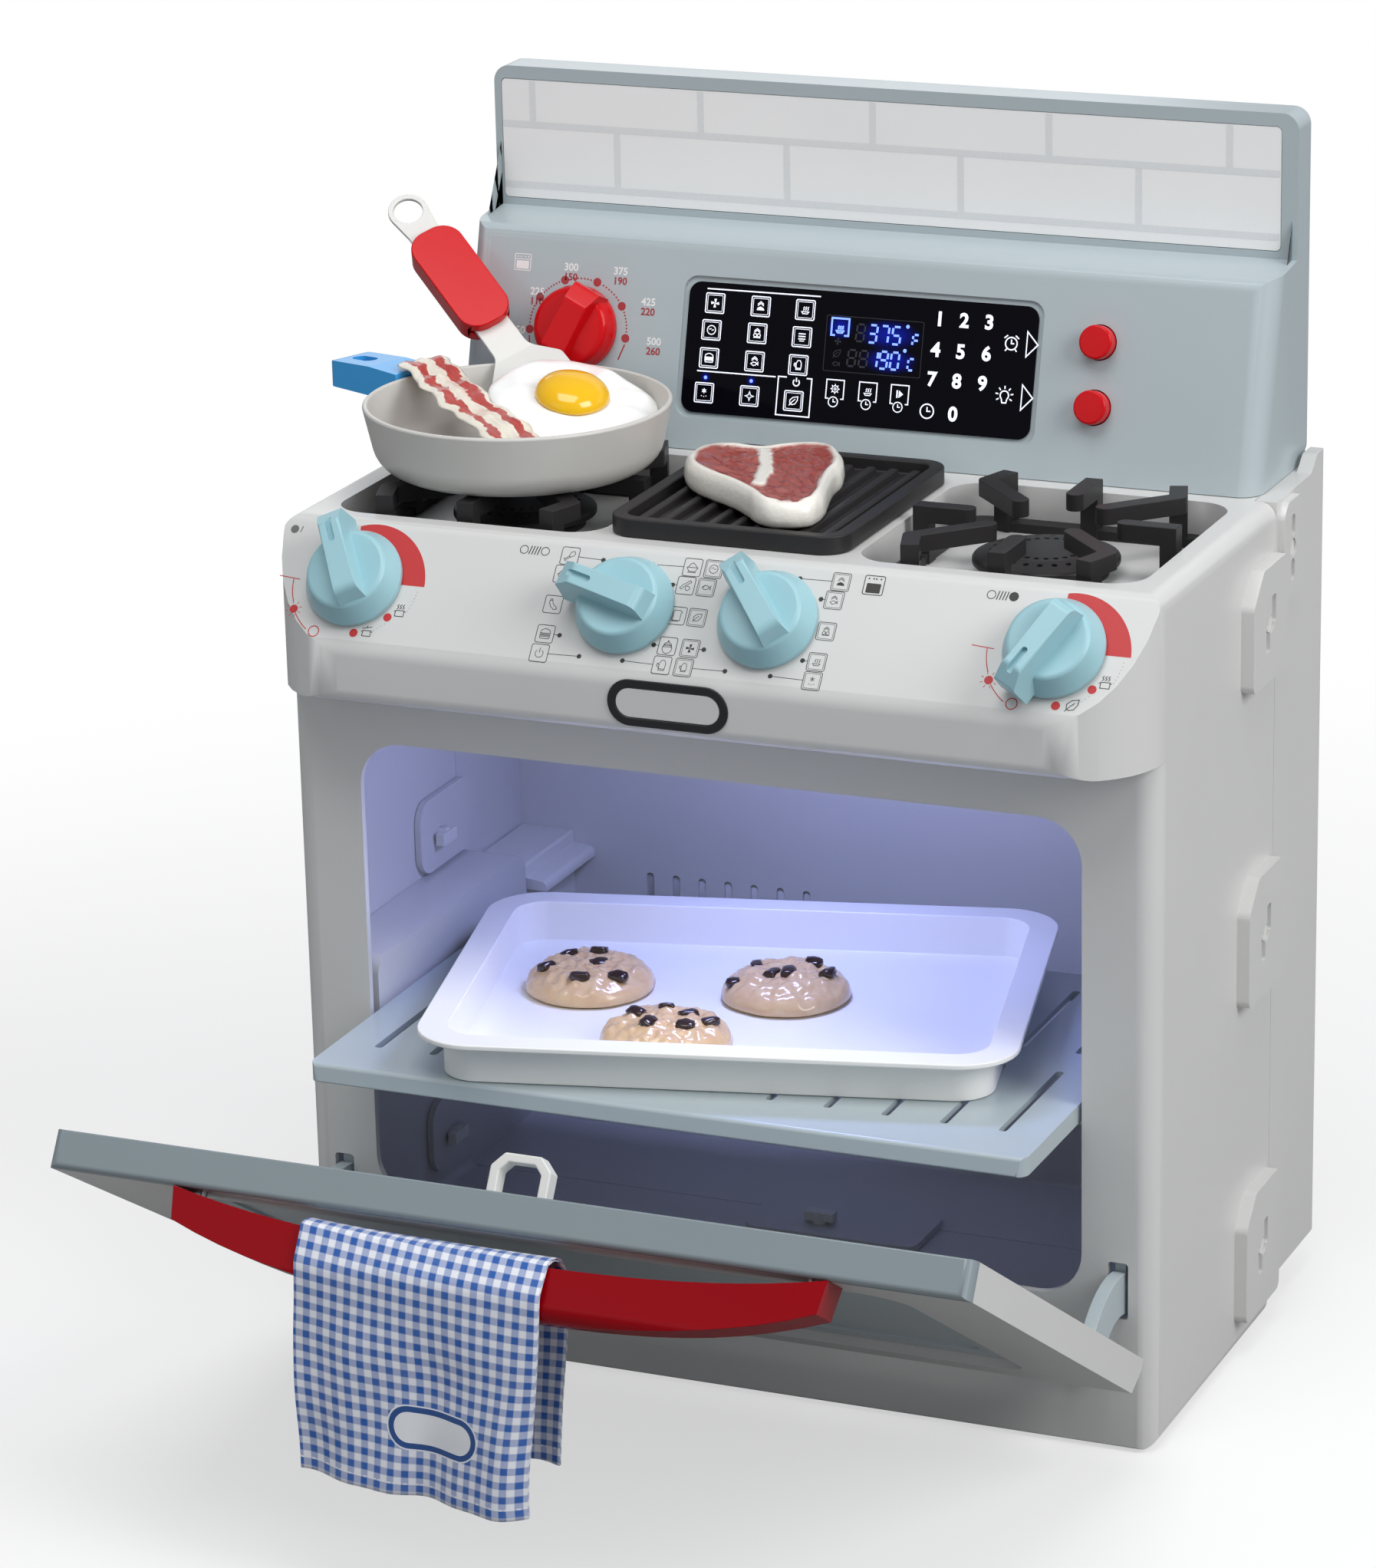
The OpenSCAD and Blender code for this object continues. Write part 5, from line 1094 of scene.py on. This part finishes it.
    shader = addNode(tree, "BsdfPrincipled", {"Base Color": surface, "Roughness": 0.85,
            "Normal": bump.outputs[0],
                                              "Sheen Weight": 0.25, "Sheen Roughness": 0.5})
    finishMaterial(tree, shader.outputs[0])
    return material


# A closed piece from rings of points, in the place of one CAD solid.
def roundPiece(name, rings, body, material, replaced, matrix=None):
    build, loops = wrapped(rings)
    build.faces.new(list(reversed(loops[0])))
    build.faces.new(loops[-1])
    bmesh.ops.recalc_face_normals(build, faces=build.faces)
    mesh = meshOf(name, build)
    if matrix:
        mesh.transform(matrix)
    obj = makePiece(name, mesh, body, material)
    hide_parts(replaced)
    return obj


# Soft vinyl food is moulded, then painted and lacquered: wavering colour under a wet gloss.
# depth and grain are the depth and width of its fine lumps in mm.
def paintedVinyl(name, first, second, gloss, depth, grain, attribute=None, third=None):
    material, tree = startMaterial(name)
    place = addNode(tree, "TexCoord").outputs["Object"]
    cloud = addNode(tree, "TexNoise", {"Vector": place, "Scale": marksOf(grain), "Detail": 4.0,
                                       "Roughness": 0.6})
    colour = addNode(tree, "Mix", {"Factor": cloud.outputs["Fac"], "A": linear(first), "B": linear(second)},
                     data_type="RGBA").outputs["Result"]
    if attribute:
        mask = addNode(tree, "Attribute", attribute_name=attribute)
        colour = addNode(tree, "Mix", {"Factor": mask.outputs["Fac"], "A": linear(third), "B": colour},
                         data_type="RGBA").outputs["Result"]
    bump = addNode(tree, "Bump", {"Height": cloud.outputs["Fac"], "Distance": depth / 1000})
    surface = addNode(tree, "BsdfPrincipled", {"Base Color": colour, "Roughness": gloss, "IOR": 1.5,
            "Normal": bump.outputs[0],
                                               "Coat Weight": 0.35, "Coat Roughness": 0.12})
    finishMaterial(tree, surface.outputs[0])
    return material


egg = {"at": (-130.1, -12, 492.8), "turn": 135, "rise": 17, "radius": 45.0, "yolk": 20.0}


def makeEgg():
    place = Matrix.Translation(mm(*egg["at"])) @ Matrix.Rotation(math.radians(egg["turn"]), 4, "Z")
    place = place @ Matrix.Rotation(math.radians(-egg["rise"]), 4, "Y")
    around = 120

    def edge(t):  # the outline's radius, uneven as where an egg runs
        r = egg["radius"] + 1.6 * math.sin(2 * t + 0.4) + 1.5 * math.sin(3 * t + 2.1) + 0.9 * math.sin(7 * t
                + 1.0)
        return r - 2.6 * math.exp(-((t - 1.7) / 0.5) ** 2)

    def ringAt(f, z, lump=0.0):
        points = []
        for i in range(around):
            t = 2 * math.pi * i / around
            r = edge(t) * f
            x, y = r * math.cos(t), r * math.sin(t)
            points.append(mm(x, y, z + lump * noise.noise(Vector((x / 13, y / 13, 4.2)))))
        return points
    rings = [ringAt(0.86, 0.3), ringAt(0.95, 0.4), ringAt(0.99, 1.4), ringAt(1.0, 2.7),
             ringAt(0.985, 4.0, 0.5), ringAt(0.95, 5.0, 0.9)]
    for f in (0.9, 0.84, 0.78, 0.72, 0.66, 0.6, 0.54, 0.49, 0.44, 0.38, 0.3, 0.2, 0.1, 0.02):
        rings.append(ringAt(f, 5.2 + 4.4 * (1 - f) ** 0.8, 1.5 * min(1, f * 2)))
    white = roundPiece("fried_egg_white", rings, "egg", paintedVinyl("lacquered_white_vinyl", "#ffffff",
            "#fafaf7", 0.16, 0.05, 11.1),
                       "egg_white", place)
    white.modifiers.new("soft", "SUBSURF").render_levels = 1
    rings = []
    for k in range(15):
        a = math.radians(90 * k / 14.3)
        r = egg["yolk"] * math.cos(a) ** 0.9
        rings.append([mm(r * math.cos(t) * (1 + 0.02 * math.sin(3 * t)), r * math.sin(t),
                         8.6 + 10.6 * math.sin(a))
                      for t in [2 * math.pi * i / 64 for i in range(64)]])
    roundPiece("fried_egg_yolk", rings, "egg", paintedVinyl("lacquered_yolk_yellow", "#f6c60a", "#f2b404",
            0.1, 0.02, 33.3), "egg_yolk", place)


bacon = {"from": (-224, 1, 508.6), "to": (-119, -96, 494.2), "half": 14.2}


def makeBacon():
    start, end = Vector(bacon["from"]), Vector(bacon["to"])
    along = (end - start).normalized()
    across = Vector((0, 0, 1)).cross(along).normalized()
    up = along.cross(across)
    total = (end - start).length
    steps, wide = 90, 26
    build = bmesh.new()
    uv = build.loops.layers.uv.new("UVMap")
    layers = []
    for side in (1, -1):
        rows = []
        for i in range(steps + 1):
            s = i / steps
            sweep = 2.2 * math.sin(s * 9.5 + 0.4) + 1.0 * math.sin(s * 23)
            row = []
            for k in range(wide + 1):
                v = 2 * k / wide - 1
                half = bacon["half"] + (1.0 * math.sin(s * 31 + (2 if v > 0 else 0))
                                        + 0.5 * math.sin(s * 57 + v))
                wave = 1.0 * math.sin(s * 19.6) + 0.5 * math.sin(s * 41 + v * 2.4)
                rim = math.sqrt(max(0.0, 1 - abs(v) ** 5))
                bead = 0.5 * math.cos(v * 3 * math.pi) + 0.35 * noise.noise(Vector((s * 30, v * 5, 1.7)))
                z = wave * 0.75 + side * (1.35 * rim) + (bead * rim if side > 0 else 0)
                row.append(start + along * (s * total) + across * (v * half + sweep * 0.45) + up * z)
            rows.append(row)
        layers.append(rows)
    grids = [[[build.verts.new(p / 1000) for p in row] for row in rows] for rows in layers]

    def patch(a, b, c, d, marks):
        face = build.faces.new((a, b, c, d))
        for corner, mark in zip(face.loops, marks):
            corner[uv].uv = mark
    for g, grid in enumerate(grids):
        for i in range(steps):
            for k in range(wide):
                marks = [(i / steps, k / wide), ((i + 1) / steps, k / wide),
                         ((i + 1) / steps, (k + 1) / wide), (i / steps, (k + 1) / wide)]
                patch(grid[i][k], grid[i + 1][k], grid[i + 1][k + 1], grid[i][k + 1], marks)
    top, under = grids
    for i in range(steps):
        for k in (0, wide):
            patch(top[i][k], top[i + 1][k], under[i + 1][k], under[i][k], [(i / steps, k / wide)] * 4)
    for k in range(wide):
        for i in (0, steps):
            patch(top[i][k], top[i][k + 1], under[i][k + 1], under[i][k], [(i / steps, k / wide)] * 4)
    bmesh.ops.remove_doubles(build, verts=build.verts, dist=0.00002)
    bmesh.ops.recalc_face_normals(build, faces=build.faces)
    obj = makePiece("bacon_rasher", meshOf("bacon_rasher", build), "rasher", rasherPaint())
    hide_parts("bacon")


# Painted vinyl rasher: cream fat with two brushed red streaks, lacquered.
def rasherPaint():
    material, tree = startMaterial("painted_vinyl_rasher")
    coords = addNode(tree, "TexCoord")
    place = coords.outputs["UV"]  # 0 to 1 along and across
    # the streaks' edges wander in marks about 10 mm long and 7 mm wide
    spread = addNode(tree, "VectorMath", {0: place, 1: (9.0, 2.5, 1)}, operation="MULTIPLY")
    wander = addNode(tree, "TexNoise", {"Vector": spread.outputs[0], "Scale": 1.6, "Detail": 4.0})
    split = addNode(tree, "SeparateXYZ", {0: place})
    shift = addNode(tree, "MapRange", {"Value": wander.outputs["Fac"], "From Min": 0.25, "From Max": 0.75,
                                       "To Min": -0.085, "To Max": 0.085})
    v = addNode(tree, "Math", {0: split.outputs["Y"], 1: shift.outputs[0]}, operation="ADD")
    far = addNode(tree, "Math", {0: v.outputs[0], 1: 0.5}, operation="SUBTRACT")
    size = addNode(tree, "Math", {0: far.outputs[0]}, operation="ABSOLUTE")
    middle = addNode(tree, "Math", {0: size.outputs[0], 1: 0.245}, operation="SUBTRACT")
    off = addNode(tree, "Math", {0: middle.outputs[0]}, operation="ABSOLUTE")
    stripe = addNode(tree, "MapRange", {"Value": off.outputs[0], "From Min": 0.098, "From Max": 0.118,
                                        "To Min": 1.0, "To Max": 0.0})
    # brush strokes about 14 mm long and half a millimetre wide
    brush = addNode(tree, "VectorMath", {0: place, 1: (10.0, 60.0, 1)}, operation="MULTIPLY")
    streak = addNode(tree, "TexNoise", {"Vector": brush.outputs[0], "Scale": 1.0, "Detail": 5.0})
    red = addNode(tree, "ValToRGB", {"Fac": streak.outputs["Fac"]})
    for element, position, shade in zip(red.color_ramp.elements, (0.3, 0.72), ("#a92a27", "#cf5a4f")):
        element.position = position
        element.color = linear(shade)
    fat = addNode(tree, "Mix", {"Factor": wander.outputs["Fac"], "A": linear("#f6f2e6"),
                                "B": linear("#efe6d2")}, data_type="RGBA")
    colour = addNode(tree, "Mix", {"Factor": stripe.outputs[0], "A": fat.outputs["Result"],
                                   "B": red.outputs["Color"]}, data_type="RGBA")
    bump = addNode(tree, "Bump", {"Height": streak.outputs["Fac"], "Distance": 0.0004})
    surface = addNode(tree, "BsdfPrincipled", {"Base Color": colour.outputs["Result"], "Roughness": 0.24,
            "IOR": 1.5, "Normal": bump.outputs[0],
                                               "Coat Weight": 0.3, "Coat Roughness": 0.1})
    finishMaterial(tree, surface.outputs[0])
    return material


steak = {"at": (-8, -47, 465.8), "high": 15.0, "outline": [(45, -57), (51, -41), (37, 6), (36, 28), (18, 61),
        (-3, 54), (-16, 38), (-36, 44), (-50, 32), (-43, -4), (4, -34), (24, -59.5)],
         "bone": [(-12.9, 36), (-7, 24), (-1, 11.4), (5, -5), (8.0, -17), (11, -27)], "rim": 5.2,
         "boneHalf": 3.1}


# Cuts each corner three times over.
def smoothOutline(points):
    for _ in range(3):
        finer = []
        for i, p in enumerate(points):
            q = points[(i + 1) % len(points)]
            for share in (0.75, 0.25):
                finer.append((share * p[0] + (1 - share) * q[0], share * p[1] + (1 - share) * q[1]))
        points = finer
    return points


def distanceTo(point, points, closed=True):
    best = 1e9
    p = Vector(point)
    for i in range(len(points) if closed else len(points) - 1):
        a, b = Vector(points[i]), Vector(points[(i + 1) % len(points)])
        t = max(0, min(1, (p - a).dot(b - a) / max(1e-9, (b - a).length_squared)))
        best = min(best, (p - a - (b - a) * t).length)
    return best


def makeSteak():
    outline = smoothOutline([(x * 1.035, y * 1.03) for x, y in steak["outline"]])
    middle = (2, 4)
    high = steak["high"]
    rings, meat = [], []
    sides = [(0.90, 0.2), (0.955, 0.5), (0.985, 2.0), (1.0, 5.0), (0.995, 8.0), (0.985, 10.6), (0.965, 12.6),
             (0.94, 13.9)]
    tops = [0.91 - 0.885 * (k / 26) for k in range(27)]
    for f, z in sides + [(f, None) for f in tops]:
        row, mask = [], []
        for i, (x, y) in enumerate(outline):
            px, py = middle[0] + (x - middle[0]) * f, middle[1] + (y - middle[1]) * f
            if z is None:
                rim = distanceTo((px, py), outline)
                bone = distanceTo((px, py), steak["bone"], False)
                wobble = 1.2 * noise.noise(Vector((px / 7, py / 7, 0.3)))
                inside = min(1.0, max(0.0, rim - steak["rim"] + wobble))
                inside *= min(1.0, max(0.0, (bone - steak["boneHalf"] + wobble) / 0.9))
                rise = high - 1.1 * inside + 0.5 * (1 - min(1, abs(rim - 3) / 3))
                grainX, grainY = px * 0.8 + py * 0.6, -px * 0.6 + py * 0.8
                coarse = noise.noise(Vector((grainX / 3.4, grainY / 9, 7)))
                fine = noise.noise(Vector((grainX / 1.6, grainY / 4, 2)))
                rise += inside * (coarse + 0.5 * fine)
                mask.append(inside)
                row.append(mm(px, py, rise))
            else:
                bulge = 0.8 * noise.noise(Vector((x / 9, y / 9, z / 12)))
                row.append(mm(px + bulge * (x - middle[0]) / 50, py + bulge * (y - middle[1]) / 50, z))
                mask.append(0.0)
        rings.append(row)
        meat += mask
    obj = roundPiece("play_steak", rings, "steak", paintedVinyl("painted_vinyl_steak", "#84302b", "#bb5c50",
            0.2, 0.25, 2.38, "meat", "#f8f4ea"),
                     "steak", Matrix.Translation(mm(*steak["at"])))
    layer = obj.data.attributes.new("meat", "FLOAT", "POINT")
    layer.data.foreach_set("value", meat)


cookies = {"at": ((-102, -70.4), (2.4, -48.1), (-30, -136)), "z": 191, "radius": 35.0, "high": 18.0,
           "chips": (((-20, -12), (-16, 8), (-2, 17), (5, 1), (22, -13), (4, -22)),
                     ((-20, 7), (-23, -16), (-6, -5), (3, -4), (9, 16), (22, 4)),
                     ((-18, 4), (-4, -12), (14, -6), (23, 6), (-5, 14), (9, 10)))}


def cookieHeight(x, y, seed):
    f = min(1.0, math.hypot(x, y) / cookies["radius"])
    z = 2.4 + (cookies["high"] - 5.0) * (1 - f ** 3.4) ** 0.6
    lumps = 2.2 * noise.noise(Vector((x / 8, y / 8, seed))) + 1.5 * noise.noise(Vector((x / 4, y / 4,
            seed + 5)))
    lumps += 0.6 * noise.noise(Vector((x / 2, y / 2, seed)))
    return z + lumps * (1 - f ** 16)


def makeCookies():
    dough = paintedVinyl("painted_vinyl_biscuit", "#cda175", "#e8cf9f", 0.18, 0.2, 8.33)
    chip = paintedVinyl("lacquered_chocolate_brown", "#2a1a14", "#3a261d", 0.14, 0.08, 3.33)
    for index, (cx, cy) in enumerate(cookies["at"]):
        seed = 3.7 * index + 1
        rings = []
        around = 128
        for f in [0.9, 0.97, 1.0] + [1.0 - k / 34 for k in range(1, 34)]:
            row = []
            for i in range(around):
                t = 2 * math.pi * i / around
                edge = cookies["radius"] * (1
                                            + 0.03 * noise.noise(Vector((math.cos(t) * 2.2, math.sin(t) * 2.2,
                                                    seed))))
                x, y = edge * f * math.cos(t), edge * f * math.sin(t)
                rise = (0.2, 0.9, 2.4)[len(rings)] if len(rings) < 3 else cookieHeight(x, y, seed)
                row.append(mm(x + cx, y + cy, cookies["z"] + rise))
            rings.append(row)
        body = "cookie_" + "abc"[index]
        roundPiece("biscuit_%d" % (index + 1), rings, body, dough, "cookie_%d" % (index + 1))
        for k, (x, y) in enumerate(cookies["chips"][index]):
            build = bmesh.new()
            bmesh.ops.create_icosphere(build, subdivisions=3, radius=1.0)
            turn = Matrix.Rotation(random.uniform(0, math.pi), 3, "Z")
            turn = turn @ Matrix.Rotation(random.uniform(-0.35, 0.35), 3, "X")
            size = Vector((random.uniform(4.4, 5.8), random.uniform(3.4, 4.4), random.uniform(2.4, 2.9)))
            for v in build.verts:
                q = v.co.copy()
                lean = max(abs(q.x), abs(q.y), abs(q.z))
                q = q / lean ** 0.55
                q *= 1 + 0.16 * noise.noise(q * 1.7 + Vector((k, index, 0)))
                q = turn @ Vector((q.x * size.x, q.y * size.y, q.z * size.z))
                v.co = mm(q.x + x + cx, q.y + y + cy, q.z + cookies["z"] + cookieHeight(x, y, seed) - 0.2)
            name = "chip_%d_%d" % (index + 1, k + 1)
            makePiece(name, meshOf(name, build), body, chip)


makeCamera()
makeStudio()
makeFloor()
print("camera and studio made")
makeFinishes()
dressNodes()
softenEdges()
print("parts dressed")
makePrints()
printTiles()
makeBadge()
makeBaffle()
lightOven()
print("prints, badge and lamp made")
makeTowel()
print("towel hung")
makeEgg()
makeBacon()
makeSteak()
makeCookies()
print("play food made")
